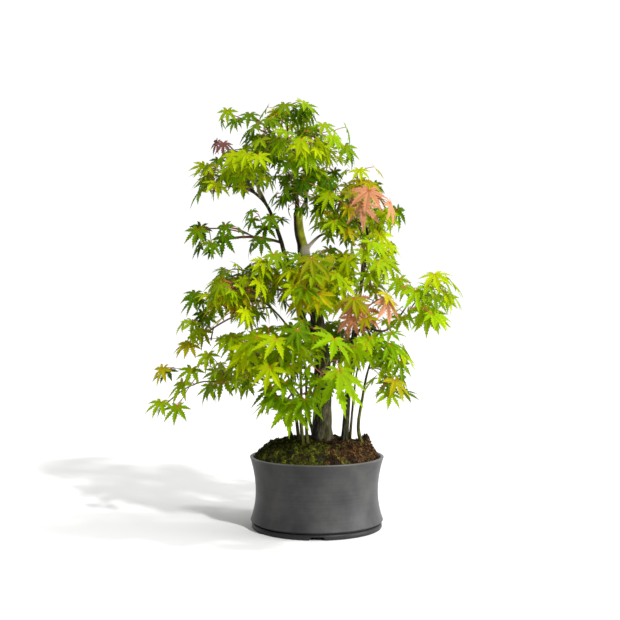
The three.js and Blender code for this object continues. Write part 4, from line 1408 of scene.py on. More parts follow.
BLADES = (
    Blade(Tint.BRIGHT, "#8ea802", "#a8ba02", "#6c8a01", "#aebe10", "#b87a1c"),
    Blade(Tint.VIVID, "#6f9401", "#86a802", "#517c01", "#96b20c", "#b06c18"),
    Blade(Tint.FRESH, "#6a8802", "#8ca602", "#476902", "#92a60e", "#a86018"),
    Blade(Tint.DEEP, "#3e6202", "#5a7e02", "#264302", "#6c880e", "#8a4f18"),
    Blade(Tint.BRONZE, "#908c06", "#aca408", "#6c7a03", "#aca422", "#a85024"),
    Blade(Tint.PINK, "#b87c52", "#cc9270", "#7c6c24", "#8e4430", "#983420"),
    Blade(Tint.PURPLE, "#5e3a3e", "#7c524e", "#40262a", "#8c6058", "#8a3530"),
)


@dataclass(frozen=True)
class Moss(Finish):
    """Living cushion moss on a root ball: matt and velvety, green at the left, browned towards the right."""

    name: str
    greens: Stops
    browns: Stops
    tuft: float = 4.5
    tuft_grain: Numbers = (5.0, 0.65)
    tuft_relief: Numbers = (0.8, 1.4)
    patch: Numbers = (22.0, 3.0)
    # The border between green and brown: where it begins and ends, and how far it wanders with the patches
    browned: Pair = (-4.0, 36.0)
    sway: float = 130.0
    cushion: Numbers = (12.0, 2.0)
    # Painted shade: the near black painted in the hollows between the cushions
    hollow_shade: str = "#120c06"
    hollow_shade_span: Numbers = (0.4, 0.55, 0.75, 0.0)
    roughness: float = 0.9
    sheen: float = 0.2

    def draw(self, tree: Tree) -> Node:
        """Draws the moss.

        Args:
            tree: The material's nodes.

        Returns:
            The shader.
        """
        place = add(tree, "TexCoord").outputs["Object"]
        tufts = add(tree, "TexNoise", grain(self.tuft, *self.tuft_grain), {"Vector": place})
        green = add(tree, "ValToRGB", {"stops": self.greens}, {"Fac": tufts})
        brown = add(tree, "ValToRGB", {"stops": self.browns}, {"Fac": tufts})
        patches = add(tree, "TexNoise", grain(*self.patch), {"Vector": place})
        across = add(tree, "SeparateXYZ", {}, {0: place}).outputs["X"]
        wander = {"operation": "MULTIPLY_ADD", 1: 2 * self.sway * MM}
        swayed = add(tree, "Math", wander, {0: patches, 2: across})
        low, high = ((edge + self.sway) * MM for edge in self.browned)
        share = add(tree, "MapRange", span(low, high), {"Value": swayed})
        mixed = add(tree, "Mix", COLOURS, {"Factor": share, MIX_A: green, MIX_B: brown})
        # Painted shade: the hollows between the cushions are painted dark
        cushions = add(tree, "TexNoise", grain(*self.cushion), {"Vector": place})
        hollow_shade = add(tree, "MapRange", span(*self.hollow_shade_span), {"Value": cushions})
        colour = add(tree, "Mix", over(self.hollow_shade), {"Factor": hollow_shade, MIX_A: mixed})
        relief = add(tree, "Bump", emboss(*self.tuft_relief), {"Height": tufts})
        return add(tree, "BsdfPrincipled", {"Roughness": self.roughness, "Specular IOR Level": self.sheen},
                   {"Base Color": colour, "Normal": relief})


@dataclass(frozen=True)
class Backdrop(Finish):
    """Matt white paint, rolled: an even pale ground."""

    name: str = "matt_white_paint"
    colour: str = "#dddddc"
    nap: Numbers = (8.0, 2.0)
    nap_relief: Numbers = (0.05, 0.2)
    roughness: float = 0.85

    def draw(self, tree: Tree) -> Node:
        """Draws the paint.

        Args:
            tree: The material's nodes.

        Returns:
            The shader.
        """
        place = add(tree, "TexCoord").outputs["Object"]
        nap = add(tree, "TexNoise", grain(*self.nap), {"Vector": place})
        relief = add(tree, "Bump", emboss(*self.nap_relief), {"Height": nap})
        return add(tree, "BsdfPrincipled", {"Base Color": linear(self.colour), "Roughness": self.roughness},
                   {"Normal": relief})


# Sub-assemblies


@dataclass
class Pot:
    """The round waisted pot on its foot ring, with three drains."""

    steps: int = 144
    wall_steps: int = 28
    lip_turns: Numbers = (22.5, 45.0, 67.5, 90.0)
    # How the small edges are eased: in shares of the chamfers of the foot and body, and in millimetres
    foot_bulge: float = 0.35
    foot_ease: Pair = (1.5, 0.5)
    body_ease: float = 0.8
    foot_brow: float = 0.8
    groove_edge: float = 0.6
    groove_lead: float = 0.5
    body_brow: float = 1.2
    notches: int = 3
    notch_width: float = 24.0
    notch_top_width: float = 16.7
    notch_height: float = 4.5
    notch_depth: float = 12.0
    channel_width: float = 10.0
    channel_height: float = 4.3
    hole_radius: float = 5.0
    hole_ring: float = 34.0
    hole_sides: int = 32
    # How far the cutters pass what they cut
    spare: float = 1.0
    crease: float = 34.0
    finish: Stoneware = field(default_factory=Stoneware)

    def wall(self, low: float, high: float, inset: float) -> list[Pair]:
        """Gives radius and level of points up the waisted wall, set in from its outside by the inset."""
        levels = [low + (high - low) * i / self.wall_steps for i in range(self.wall_steps + 1)]
        return [(pot_radius(level) - inset, level) for level in levels]

    def turned(self) -> Shape:
        """Turns the pot from its profile.

        Returns:
            The closed shape before its drains are cut.
        """
        top = POT_HEIGHT - LIP_ROUND
        corner = [(math.sin(turn), 1 - math.cos(turn)) for turn in map(math.radians, self.lip_turns)]
        lip = [(RIM_RADIUS - LIP_ROUND * down, top + LIP_ROUND * rise) for rise, down in corner]
        inside = RIM_RADIUS - WALL
        inner = [(inside + LIP_ROUND * down, top + LIP_ROUND * rise) for rise, down in reversed(corner)]
        bulge, edge = self.foot_bulge * FOOT_CHAMFER, BODY_LEVEL - BODY_CHAMFER
        low, high = (FOOT_HEIGHT - share * FOOT_CHAMFER for share in self.foot_ease)
        profile = [
            (0.0, 0.0),
            (FOOT_RADIUS - FOOT_CHAMFER, 0.0),
            (FOOT_RADIUS - bulge, bulge),
            (FOOT_RADIUS, FOOT_CHAMFER),
            (FOOT_RADIUS, low),
            (FOOT_RADIUS - self.foot_brow, high),
            (GROOVE_RADIUS + self.groove_edge, FOOT_HEIGHT),
            (GROOVE_RADIUS, FOOT_HEIGHT + self.groove_edge),
            (GROOVE_RADIUS, edge - self.groove_lead),
            (GROOVE_RADIUS + self.foot_brow, edge),
            (BODY_RADIUS - self.body_brow, BODY_LEVEL - self.body_ease * BODY_CHAMFER),
            *self.wall(BODY_LEVEL, top, 0.0),
            *lip,
            *inner,
            *reversed(self.wall(POT_FLOOR, top, WALL)),
            (0.0, POT_FLOOR),
        ]
        made = bmesh.new()
        verts = [made.verts.new((radius, 0.0, level)) for radius, level in profile]
        edges = [made.edges.new(pair) for pair in zip(verts, verts[1:])]
        bmesh.ops.spin(made, geom=verts + edges, axis=(0, 0, 1), cent=(0, 0, 0), angle=2 * math.pi,
                       steps=self.steps, use_merge=True)
        bmesh.ops.remove_doubles(made, verts=made.verts, dist=MERGE)
        bmesh.ops.recalc_face_normals(made, faces=made.faces)
        return made

    def drains(self) -> bpy.types.Object:
        """Makes the block of cutters: a notch, channel and hole for each drain.

        Returns:
            The cutters as one object.
        """
        cutters = bmesh.new()
        radius, inner, outer = self.hole_radius, FOOT_RADIUS - self.notch_depth, FOOT_RADIUS + 2 * self.spare
        # Widths at the bottom and top, reach at the back and front, and level of the top
        notch = (self.notch_width, self.notch_top_width), (inner, outer), self.notch_height
        channel = (self.channel_width,) * 2, (self.hole_ring, inner + self.spare), self.channel_height
        for i in range(self.notches):
            drain = []
            for widths, depths, level in (notch, channel):
                block = bmesh.ops.create_cube(cutters, size=1.0)["verts"]
                for vertex in block:
                    high, front = vertex.co.z > 0, vertex.co.y < 0
                    vertex.co = (math.copysign(widths[high] / 2, vertex.co.x), -depths[front],
                                 level if high else -self.spare)
                drain += block
            hole = bmesh.ops.create_cone(cutters, cap_ends=True, segments=self.hole_sides, radius1=radius,
                                         radius2=radius, depth=3 * POT_FLOOR)["verts"]
            bmesh.ops.translate(cutters, verts=hole, vec=(0, -self.hole_ring, 0))
            turn = Matrix.Rotation(2 * math.pi * i / self.notches, 4, "Z")
            bmesh.ops.transform(cutters, matrix=turn, verts=[*drain, *hole])
        bmesh.ops.recalc_face_normals(cutters, faces=cutters.faces)
        return placed("drain_cutters", modelled(cutters, "drain_cutters"))

    def build(self) -> None:
        """Turns the pot, cuts its drains and fires its finish."""
        turned = placed("pot_turned", modelled(self.turned(), "pot_turned"))
        cutters = self.drains()
        cut = turned.modifiers.new("drains", "BOOLEAN")
        cut.operation, cut.object, cut.solver, cut.use_self = "DIFFERENCE", cutters, "EXACT", True
        graph = bpy.context.evaluated_depsgraph_get()
        mesh = bpy.data.meshes.new_from_object(turned.evaluated_get(graph))
        mesh.name = "pot_stoneware"
        for spent in (turned, cutters):
            bpy.data.objects.remove(spent)
        piece = shown(mesh, self.finish.make(), self.crease)
        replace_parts(piece, "pot")


@dataclass
class Ground:
    """The root ball with its cushions of moss, and crumbs of soil where the moss has died back."""

    rings: int = 96
    sides: int = 200
    # The share of the rings that lies on the top, and how they crowd towards its edge
    over: float = 0.86
    crowding: float = 0.9
    # Pitch and rise of the cushions and of the broad and fine lumps
    cushion: float = 11.0
    cushion_rise: float = 4.6
    cushion_dome: Pair = (0.3, 1.6)
    broad: Pair = (15.0, 2.4)
    fine: Pair = (2.6, 1.1)
    # The levels at which the noise of the cushions, the lumps and the bare patch is cut
    cuts: Numbers = (0.3, 3.0, 5.0, 2.0)
    fading: float = 6.0
    # Place, width and height of a knot of old roots that stands up at the right of the rim
    root_knot: Numbers = (72.0, 16.0, 9.0, 13.0)
    tufts: int = 6800
    tuft_sizes: Pair = (1.3, 3.4)
    # A sprig of moss: its sides, radii at foot and head, the pull on every other point, and its lift
    tuft_sides: int = 5
    tuft_radii: Pair = (0.16, 0.5)
    tuft_pull: Pair = (0.3, 0.05)
    tuft_lift: float = 0.3
    tuft_spread: float = 0.985
    crumbs: int = 420
    crumb_sizes: Pair = (1.3, 3.6)
    # A crumb of soil: how rough and how fine, its lift, and the places tried for each
    crumb_rough: Pair = (0.5, 3.0)
    crumb_lift: float = 0.2
    crumb_tries: int = 6
    crumb_spread: float = 0.97
    # Crumbs lie to the right of a line that wanders this far, at this pitch
    bare_from: float = 28.0
    bare_sway: Pair = (30.0, 20.0)
    creases: Pair = (80.0, 60.0)
    seed: int = 41
    green: Moss = Moss("cushion_moss",
                       ((0.34, "#0b0a04"), (0.46, "#232506"), (0.56, "#4a5008"), (0.7, "#808210")),
                       ((0.34, "#0c0804"), (0.47, "#291b0c"), (0.58, "#523a1a"), (0.72, "#7e6228")))
    leafy: Moss = Moss("moss_sprigs",
                       ((0.34, "#101004"), (0.46, "#343806"), (0.57, "#5e640a"), (0.7, "#909218")),
                       ((0.34, "#130b05"), (0.48, "#3c2610"), (0.58, "#6c4c1e"), (0.7, "#8c7028")), tuft=7.0)
    soil: Moss = Moss("baked_clay_crumbs",
                      ((0.35, "#140d07"), (0.5, "#352113"), (0.68, "#5f4026")),
                      ((0.35, "#170c06"), (0.5, "#45260f"), (0.68, "#8a5a30")), tuft=6.0)

    def top(self, x: float, y: float) -> float:
        """Gives the level of the cushioned top over a place.

        Args:
            x: The place, towards the right.
            y: The place, towards the back.

        Returns:
            The level.
        """
        (broad, broad_rise), (fine, fine_rise), (middle, fall) = self.broad, self.fine, self.cushion_dome
        near = noise.voronoi((x / self.cushion, y / self.cushion, self.cuts[0]))[0][0]
        lumps = self.cushion_rise * (middle - near * near * fall)
        lumps += broad_rise * noise.noise((x / broad, y / broad, self.cuts[1]))
        lumps += fine_rise * noise.noise((x / fine, y / fine, self.cuts[2]))
        at_x, at_y, wide, high = self.root_knot
        lumps += high * math.exp(-(((x - at_x) / wide) ** 2 + ((y - at_y) / wide) ** 2))
        return mound_top(x, y) + smoothed((MOUND_RADIUS - math.hypot(x, y)) / self.fading) * lumps

    def surface(self, share: float, turn: float) -> Place:
        """Gives a place on the root ball.

        Args:
            share: From the middle of its top, 0, to the edge of its underside, 1.
            turn: The angle round it.

        Returns:
            The place.
        """
        if share <= self.over:
            radius = MOUND_RADIUS * (share / self.over) ** self.crowding
            x, y = radius * math.cos(turn), radius * math.sin(turn)
            return (x, y, self.top(x, y))
        level = MOUND_EDGE + (POT_FLOOR + GAP - MOUND_EDGE) * (share - self.over) / (1 - self.over)
        radius = pot_radius(level) - WALL - GAP
        return (radius * math.cos(turn), radius * math.sin(turn), level)

    def places(self, count: int, slot: int, spread: float) -> list[tuple[float, float, Source]]:
        """Strews places over the top.

        Args:
            count: How many.
            slot: The slot of their source of numbers.
            spread: The share of the radius that they keep to.

        Returns:
            Each place with the source that it was drawn from.
        """
        random = seeded(self.seed + slot)
        strewn = []
        for _ in range(count):
            radius, turn = spread * MOUND_RADIUS * math.sqrt(random()), 2 * math.pi * random()
            strewn.append((radius * math.cos(turn), radius * math.sin(turn), random))
        return strewn

    def tuft(self) -> Pattern:
        """Makes one sprig of moss: a cone of few sides, with every other point of its top pulled in.

        Returns:
            The sprig, about 1 mm high.
        """
        made = bmesh.new()
        (foot, head), (pull, level) = self.tuft_radii, self.tuft_pull
        sides = self.tuft_sides
        bmesh.ops.create_cone(made, cap_ends=False, segments=sides, radius1=foot, radius2=head, depth=1.0)
        for number, vertex in enumerate(vertex for vertex in made.verts if vertex.co.z > 0):
            if number % 2:
                vertex.co = (vertex.co.x * pull, vertex.co.y * pull, level)
        return Pattern.taken(made)

    def crumb(self) -> Pattern:
        """Makes one rough crumb.

        Returns:
            The crumb, about 1 mm across.
        """
        made = bmesh.new()
        bmesh.ops.create_icosphere(made, subdivisions=1, radius=0.5)
        rough, fineness = self.crumb_rough
        for vertex in made.verts:
            vertex.co *= 1 + rough * noise.noise(vertex.co * fineness + Vector((self.seed, 0, 0)))
        return Pattern.taken(made)

    def strew(self, name: str, pattern: Pattern, places: list, sizes: Pair, finish: Moss,
              lift: float) -> None:
        """Strews copies of a small shape over the top.

        Args:
            name: The piece's name.
            pattern: The shape.
            places: Where the copies go.
            sizes: The smallest and largest size.
            finish: Their finish.
            lift: How far each stands out, as a share of its size.
        """
        heap = Heap()
        for x, y, random in places:
            size = drawn(sizes, random)
            turn = Matrix.Rotation(2 * math.pi * random(), 3, "Z") @ Matrix.Rotation(random() - 0.5, 3, "X")
            at = np.array((x, y, self.top(x, y) + lift * size))
            heap.add(pattern, at + size * pattern.points @ np.array(turn).T, pattern.notes * 0 + random())
        shown(heap.joined(name), finish.make(), self.creases[1])

    def build(self) -> None:
        """Lays the root ball, its moss and its crumbs."""
        ball = modelled(rolled(self.rings, self.sides, self.surface), "moss_mound")
        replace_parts(shown(ball, self.green.make(), self.creases[0]), "mound")
        sprigs = self.places(self.tufts, 1, self.tuft_spread)
        self.strew("moss_sprigs", self.tuft(), sprigs, self.tuft_sizes, self.leafy, self.tuft_lift)
        sway, pitch = self.bare_sway
        tried = self.places(self.crumb_tries * self.crumbs, 2, self.crumb_spread)
        bare = [(x, y, random) for x, y, random in tried
                if x + sway * noise.noise((x / pitch, y / pitch, self.cuts[3])) > self.bare_from]
        kept = bare[: self.crumbs]
        self.strew("soil_crumbs", self.crumb(), kept, self.crumb_sizes, self.soil, self.crumb_lift)


@dataclass
class Wood:
    """The limbs in their bark, and the stems, twigs and leaf stalks that they carry."""

    plant: Plant
    ring_step: float = 2.6
    sides: int = 30
    # Flutes at the foot of a stem: how many, how deep, how they lean, and the height over which they fade
    flutes: int = 5
    flute_depth: float = 0.2
    flute_lean: float = 1.7
    flute_fade: float = 14.0
    foot_slimmed: float = 0.12
    collar: float = 0.4
    # Ridges of bark: their height as a share of the radius, their pitch across and along, and the finer ones
    ridge: float = 0.05
    ridge_pitch: Pair = (7.0, 26.0)
    ridge_coarse: float = 1.8
    ridge_fine: float = 3.1
    bluntness: float = 0.02
    # Old cuts: how far the pale round reaches, and which way the cut in a fork faces
    mark_reach: float = 1.45
    fork_way: Place = (0.6, -0.8, 0.0)
    # Algae: where they begin and are fullest on the trunk, and the least share on any limb and on a slim stem
    film_level: Pair = (340.0, 395.0)
    film_least: float = 0.03
    film_slim: float = 0.14
    slim: float = 3.0
    # Faces round and along the tubes for stems, twigs and stalks
    tubes: tuple[tuple[int, int], ...] = ((9, 14), (6, 7), (5, 4))
    stalk_radii: Pair = (0.62, 0.42)
    stalk_arch: float = 0.1
    crease: float = 60.0
    seed: int = 7
    bark: Bark = field(default_factory=Bark)
    twig_skin: YoungWood = YoungWood("maple_twig_skin", "#4e3e30", "#703a2e", "#747c34", 0.5)
    stalk_skin: YoungWood = YoungWood("maple_stalk_skin", "#b43a2a", "#c4563e", "#a8a044", 0.42)

    def frames(self, limb: Limb, count: int) -> list[tuple[Vector, Vector, Vector]]:
        """Sets out rings along a limb without twisting them.

        Args:
            limb: The limb.
            count: How many stretches between the rings.

        Returns:
            The middle and two cross directions of each ring.
        """
        points = [Vector(limb.curve.place(i / count)) for i in range(count + 1)]
        across = Vector((1.0, 0.0, 0.0))
        frames = []
        for number, point in enumerate(points):
            before, after = points[max(0, number - 1)], points[min(count, number + 1)]
            ahead = (after - before).normalized()
            across = (across - ahead * across.dot(ahead)).normalized()
            frames.append((point, across.copy(), ahead.cross(across)))
        return frames

    def foot_share(self, limb: Limb, share: float, turn: float) -> float:
        """Tells how the foot of a limb swells: a collar on its carrier, or flutes out of the soil.

        Args:
            limb: The limb.
            share: Where along it.
            turn: The angle round it.

        Returns:
            What its radius is multiplied by.
        """
        reached = share * limb.curve.length
        if limb.carrier:
            free = max(0.0, reached - limb.carrier.radius(limb.sizes.at))
            return 1 + self.collar * math.exp(-free / limb.sizes.foot)
        foot = math.exp(-max(0.0, reached - FOOT_SPARE) / self.flute_fade)
        lean = self.flute_lean * math.sin(turn + limb.number) + limb.number
        return 1 + foot * (self.flute_depth * math.sin(self.flutes * turn + lean) - self.foot_slimmed)

    def limb_mesh(self, limb: Limb) -> Shape:
        """Bends a tube along a limb, with flutes at its foot, ridges of bark and a rounded tip.

        Args:
            limb: The limb.

        Returns:
            The closed shape.
        """
        sizes, length = limb.sizes, limb.curve.length
        rings = round(length / self.ring_step)
        frames = self.frames(limb, rings)
        across, along = self.ridge_pitch

        def shape(share: float, turn: float) -> Vector:
            """Gives a place on the bark.

            Args:
                share: Where along the limb.
                turn: The angle round it.

            Returns:
                The place.
            """
            middle, one, other = frames[round(share * rings)]
            way = one * math.cos(turn) + other * math.sin(turn)
            radius = limb.radius(share) * self.foot_share(limb, share, turn)
            place = middle + way * radius
            ridge_at = Vector((place.x / across, place.y / across, place.z / along))
            ridges = self.ridge_coarse * noise.noise(ridge_at) + noise.noise(ridge_at * self.ridge_fine)
            blunt = max(0.0, 1 - (1 - share) * length / limb.radius(1))
            rounding = math.sqrt(max(self.bluntness, 1 - blunt**2))
            return middle + way * radius * (1 + self.ridge * ridges) * rounding

        made = rolled(rings, self.sides, shape)
        layer = made.verts.layers.float_vector.new(Pattern.NOTE)
        cut_at, spread = (sizes.knot[0], limb.radius(sizes.knot[0])) if sizes.knot else (0.0, 0.0)
        pale = Vector(limb.curve.place(cut_at)) + Vector(self.fork_way) * spread
        spread = spread or sizes.healed
        for vertex in made.verts:
            mark = smoothed(self.mark_reach - (vertex.co - pale).length / spread) if spread else 0.0
            vertex[layer] = (mark, self.film(limb, vertex.co.z), 0.0)
        return made

    def film(self, limb: Limb, height: float) -> float:
        """Tells how far algae cover the bark: much of the trunk high up, and some of the slim stems.

        Args:
            limb: The limb.
            height: The level on it.

        Returns:
            The share covered; the bark lays it on the side facing the lamps, as algae and a painted
            highlight.
        """
        if limb.number == 0:
            low, high = self.film_level
            return self.film_least + (1 - self.film_least) * smoothed((height - low) / (high - low))
        return self.film_slim if limb.sizes.foot < self.slim and not limb.carrier else self.film_least

    def tube(self, sides: int, rings: int) -> Pattern:
        """Makes a straight tube to bend.

        Args:
            sides: Faces round it.
            rings: Faces along it.

        Returns:
            The tube, whose notes hold the share along it and the angle round it.
        """
        made = rolled(rings, sides, lambda share, turn: (math.cos(turn), math.sin(turn), share))
        layer = made.verts.layers.float_vector.new(Pattern.NOTE)
        for vertex in made.verts:
            vertex[layer] = (vertex.co.z, math.atan2(vertex.co.y, vertex.co.x), 0.0)
        return Pattern.taken(made)

    def bend(self, heap: Heap, tube: Pattern, bend: tuple, radii: Pair, tone: float) -> None:
        """Bends a copy of a tube along an arch.

        Args:
            heap: Where it goes.
            tube: The tube.
            bend: The arch's start, pull and end.
            radii: The radius at its start and end.
            tone: Its own tone.
        """
        start, pull, end = (np.asarray(point, float) for point in bend)
        share = tube.notes[:, 0:1]
        middle = (1 - share) ** 2 * start + 2 * share * (1 - share) * pull + share**2 * end
        ahead = 2 * (1 - share) * (pull - start) + 2 * share * (end - pull)
        ahead /= np.linalg.norm(ahead, axis=1, keepdims=True)
        side = np.cross(ahead, SELDOM_ALONG)
        side /= np.linalg.norm(side, axis=1, keepdims=True)
        radius = radii[0] + (radii[1] - radii[0]) * share
        turn = tube.notes[:, 1:2]
        points = middle + radius * (np.cos(turn) * side + np.sin(turn) * np.cross(ahead, side))
        heap.add(tube, points, np.hstack((share, share * 0, share * 0 + tone)))

    def build(self) -> None:
        """Makes the limbs, twigs and stalks."""
        bark = self.bark.make()
        for limb in self.plant.limbs.values():
            mesh = modelled(self.limb_mesh(limb), "bark_" + limb.sizes.name)
            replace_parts(shown(mesh, bark, self.crease), limb.sizes.name)
        twigs, stalks = Heap(), Heap()
        stem_tube, twig_tube, stalk_tube = (self.tube(sides, rings) for sides, rings in self.tubes)
        random = seeded(self.seed)
        for mass in self.plant.masses:
            for number, shoot in enumerate(mass.shoots):
                self.bend(twigs, twig_tube if number else stem_tube, shoot.bend, shoot.radii, random())
            for leaf in mass.leaves:
                arch = UP * self.stalk_arch * np.linalg.norm(leaf.foot - leaf.wood)
                pull = (leaf.wood + leaf.foot) / 2 + arch
                self.bend(stalks, stalk_tube, (leaf.wood, pull, leaf.foot), self.stalk_radii, random())
        shown(twigs.joined("twigs"), self.twig_skin.make(), self.crease)
        shown(stalks.joined("leaf_stalks"), self.stalk_skin.make(), self.crease)


@dataclass
class Foliage:
    """The leaves: a few patterns of the seven-lobed blade, dealt out by tint."""

    plant: Plant
    variants: int = 7
    # Each lobe from the middle out: its turn, and its reach and the next notch's in lengths of the blade
    turns: Numbers = (0.0, 37.0, 80.0, 124.0)
    reaches: Numbers = (1.0, 0.94, 0.7, 0.38)
    notch_reaches: Numbers = (0.25, 0.23, 0.15, 0.09)
    last_gap: float = 26.0
    # Half a lobe's width where it is widest, how much of it doesn't depend on its reach, and how it narrows
    half_width: float = 0.13
    least_wide: float = 0.35
    widest: float = 0.54
    narrowing: float = 1.15
    # Teeth: how many, where the first and last stand, their points and notches, their hook and unevenness
    teeth: int = 6
    tooth_stand: Pair = (0.8, 0.7)
    tooth: Pair = (1.26, 0.68)
    hook: float = 0.008
    uneven: float = 0.12
    cuts: Numbers = (0.4, 0.72)
    # A blade's least and greatest fold, droop and curl, and its sway and ripples
    fold: Pair = (0.12, 0.42)
    droop: Pair = (0.8, 1.7)
    curl: Pair = (0.0, 0.3)
    curl_from: float = 0.6
    sway: float = 0.05
    phases: float = 6.3
    ripple: float = 0.05
    ripples: int = 3
    tone: Pair = (0.02, 0.88)
    crease: float = 24.0
    seed: int = 23
    blade_seed: int = 900

    def half_lobe(self, made: Shape, lobe: int, side: int, random: Source) -> None:
        """Makes one half of a lobe as a toothed sheet from the leaf's foot to the lobe's tip.

        Args:
            made: The leaf so far.
            lobe: The lobe's number from the middle.
            side: 1 for the half away from the middle lobe, -1 for the half towards it.
            random: The source of numbers.
        """
        layer = made.verts.layers.float_vector[Pattern.NOTE]
        reach, turn = self.reaches[lobe], self.turns[lobe]
        notch = lobe if side > 0 else lobe - 1
        last = notch == len(self.turns) - 1
        gap = self.last_gap if last else (self.turns[notch + 1] - self.turns[notch]) / 2
        deep = self.notch_reaches[notch]
        x0, y0 = deep * math.cos(math.radians(gap)), deep * math.sin(math.radians(gap))
        wide = self.half_width * (self.least_wide + (1 - self.least_wide) * reach)
        low, high = self.tooth_stand
        point, dent = self.tooth
        outline = [(0.0, 0.0), (reach, 0.0)]
        for tooth in reversed(range(self.teeth)):
            x = x0 + (reach - x0) * (tooth + low) / (self.teeth + high)
            share = x / reach
            if share < self.widest:
                width = y0 + (wide - y0) * (x - x0) / max(1e-6, self.widest * reach - x0)
            else:
                width = wide * (1 - (share - self.widest) / (1 - self.widest)) ** self.narrowing
            width *= 1 + self.uneven * (random() - 0.5)
            outline += [(x + self.hook, width * dent), (x, width * point)]
        outline.append((x0, y0))
        verts = [made.verts.new((x, side * y, 0.0)) for x, y in outline]
        for vertex, (x, y) in zip(verts, outline):
            vertex[layer] = (math.hypot(x, y) if x == x0 else x, y, 0.0)
        face = made.faces.new(verts if side > 0 else verts[::-1])
        parts = [*verts, *face.edges, face]
        for cut in self.cuts:
            parts = bmesh.ops.bisect_plane(made, geom=parts, plane_co=(cut * reach, 0, 0),
                                           plane_no=(1, 0, 0))["geom"]
        own = [part for part in parts if isinstance(part, bmesh.types.BMVert)]
        bmesh.ops.rotate(made, cent=(0, 0, 0), matrix=Matrix.Rotation(math.radians(turn), 3, "Z"), verts=own)

    def blade(self, number: int) -> Pattern:
        """Makes one pattern of the blade, folded along its veins and drooping.

        Args:
            number: The number of the pattern.

        Returns:
            The pattern, 1 mm long.
        """
        random = seeded(number + self.blade_seed)
        made = bmesh.new()
        layer = made.verts.layers.float_vector.new(Pattern.NOTE)
        self.half_lobe(made, 0, 1, random)
        for lobe in range(1, len(self.turns)):
            self.half_lobe(made, lobe, -1, random)
            self.half_lobe(made, lobe, 1, random)
        bmesh.ops.remove_doubles(made, verts=made.verts, dist=MERGE)
        bmesh.ops.mirror(made, geom=[*made.verts, *made.edges, *made.faces], matrix=Matrix.Identity(4),
                         merge_dist=MERGE, axis="Y")
        bmesh.ops.recalc_face_normals(made, faces=made.faces)
        if sum(face.normal.z for face in made.faces) < 0:
            bmesh.ops.reverse_faces(made, faces=made.faces)
        fold, droop, curl = (drawn(limits, random) for limits in (self.fold, self.droop, self.curl))
        sway, phase = self.sway * (random() - 0.5), self.phases * random()
        for vertex in made.verts:
            x, y, _ = vertex.co
            side = vertex[layer][1]
            around, away = math.atan2(y, x), math.hypot(x, y)
            vertex.co.z = fold * side - LEAF_DROOP * droop * away**2
            vertex.co.z -= curl * max(0.0, away - self.curl_from) ** 2
            vertex.co.z += self.ripple * away * math.sin(self.ripples * around + phase)
            vertex.co.y += sway * away * away
        return Pattern.taken(made)

    def build(self) -> None:
        """Deals the leaves out and joins those of each tint."""
        blades = [self.blade(number) for number in range(self.variants)]
        heaps = {tint: Heap() for tint in Tint}
        random = seeded(self.seed)
        for mass in self.plant.masses:
            for leaf in mass.leaves:
                blade = blades[int(random() * self.variants)]
                ways = np.array((leaf.along, leaf.across, leaf.normal))
                notes = blade.notes.copy()
                notes[:, 2] = drawn(self.tone, random)
                heaps[leaf.tint].add(blade, leaf.foot + leaf.length * blade.points @ ways, notes)
        for finish in BLADES:
            slot = finish.tint.value
            piece = shown(heaps[finish.tint].joined(slot), finish.make(), self.crease)
            nodes = ["leaves_" + sizes.name for sizes in MASSES if sizes.tint is finish.tint]
            if nodes:
                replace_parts(piece, *nodes)


@dataclass(frozen=True)
class Lamp:
    """A lamp that lights from one direction: where it stands from the plant, its spread and its strength."""

    name: str
    stands: Place
    spread: float
    strength: float


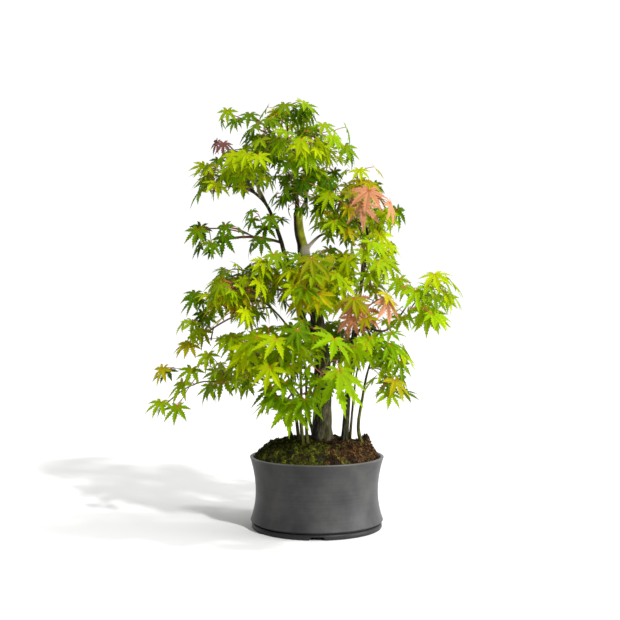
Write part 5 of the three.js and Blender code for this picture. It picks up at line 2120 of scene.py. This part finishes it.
@dataclass
class Studio:
    """The pale floor, the soft daylight from the right and the camera, level with the middle of the plant."""

    eye: Place = (-0.00964, -1.397, 0.306)
    lens: float = 57.2
    floor_half: float = 14000.0
    floor_faces: int = 8
    lamps: tuple[Lamp, ...] = (
        Lamp("window_light", (0.76, -1.05, 1.0), 3.5, 3.2),
        Lamp("roof_light", (0.5, -0.02, 1.0), 5.0, 1.1),
    )
    panel_at: Place = (1.5, -0.35, 0.35)
    panel_aim: Place = (0.0, 0.0, 0.1)
    panel_size: float = 0.7
    panel_power: float = 20.0
    # The walls: the way to the brightest, the span over which they turn bright, and their strengths
    bright_way: Place = (0.5, 0.86, 0.0)
    bright_span: Pair = (-0.7, 0.45)
    wall_strength: Pair = (0.26, 1.03)

    def lay_floor(self) -> None:
        """Lays the floor."""
        made = bmesh.new()
        faces = self.floor_faces
        bmesh.ops.create_grid(made, x_segments=faces, y_segments=faces, size=self.floor_half)
        floor = placed("floor", modelled(made, "floor"))
        floor.data.materials.append(Backdrop().make())

    def paint_walls(self) -> None:
        """Makes the back and right of the studio bright, and its front left dim."""
        world = bpy.data.worlds.new("studio")
        bpy.context.scene.world = world
        world.use_nodes = True
        tree = world.node_tree
        tree.nodes.clear()
        way = add(tree, "TexCoord").outputs["Generated"]
        facing = add(tree, "VectorMath", {"operation": "DOT_PRODUCT", 1: self.bright_way}, {0: way})
        shade = {"interpolation_type": "SMOOTHSTEP"} | span(*self.bright_span, *self.wall_strength)
        strength = add(tree, "MapRange", shade, {"Value": facing})
        glow = add(tree, "Background", {"Color": linear("#ffffff")}, {"Strength": strength})
        add(tree, "OutputWorld", {}, {"Surface": glow})

    def hang_lights(self) -> None:
        """Hangs the two lamps and the panel at the side."""
        for lamp in self.lamps:
            sun = bpy.data.lights.new(lamp.name, "SUN")
            sun.energy, sun.angle = lamp.strength, math.radians(lamp.spread)
            placed(lamp.name, sun).rotation_euler = Vector(lamp.stands).to_track_quat("Z", "Y").to_euler()
        panel = bpy.data.lights.new("side_panel", "AREA")
        panel.shape, panel.size, panel.energy = "SQUARE", self.panel_size, self.panel_power
        side = placed("side_panel", panel)
        side.location = self.panel_at
        away = Vector(self.panel_at) - Vector(self.panel_aim)
        side.rotation_euler = away.to_track_quat("Z", "Y").to_euler()

    def build(self) -> None:
        """Lays the floor, and sets the lights and the camera."""
        self.lay_floor()
        self.paint_walls()
        self.hang_lights()
        camera = placed("camera", bpy.data.cameras.new("camera"))
        camera.data.lens = self.lens
        camera.location, camera.rotation_euler = self.eye, (math.pi / 2, 0.0, 0.0)
        bpy.context.scene.camera = camera
        bpy.context.scene.view_settings.view_transform = "Standard"
        LOG.info("studio: floor, light and camera")


def main() -> None:
    """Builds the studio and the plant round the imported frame."""
    logging.basicConfig(level=logging.INFO, format="%(message)s")
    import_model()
    Studio().build()
    Pot().build()
    Ground().build()
    plant = Plant()
    plant.grow()
    Wood(plant).build()
    Foliage(plant).build()


if __name__ == "__main__":
    main()
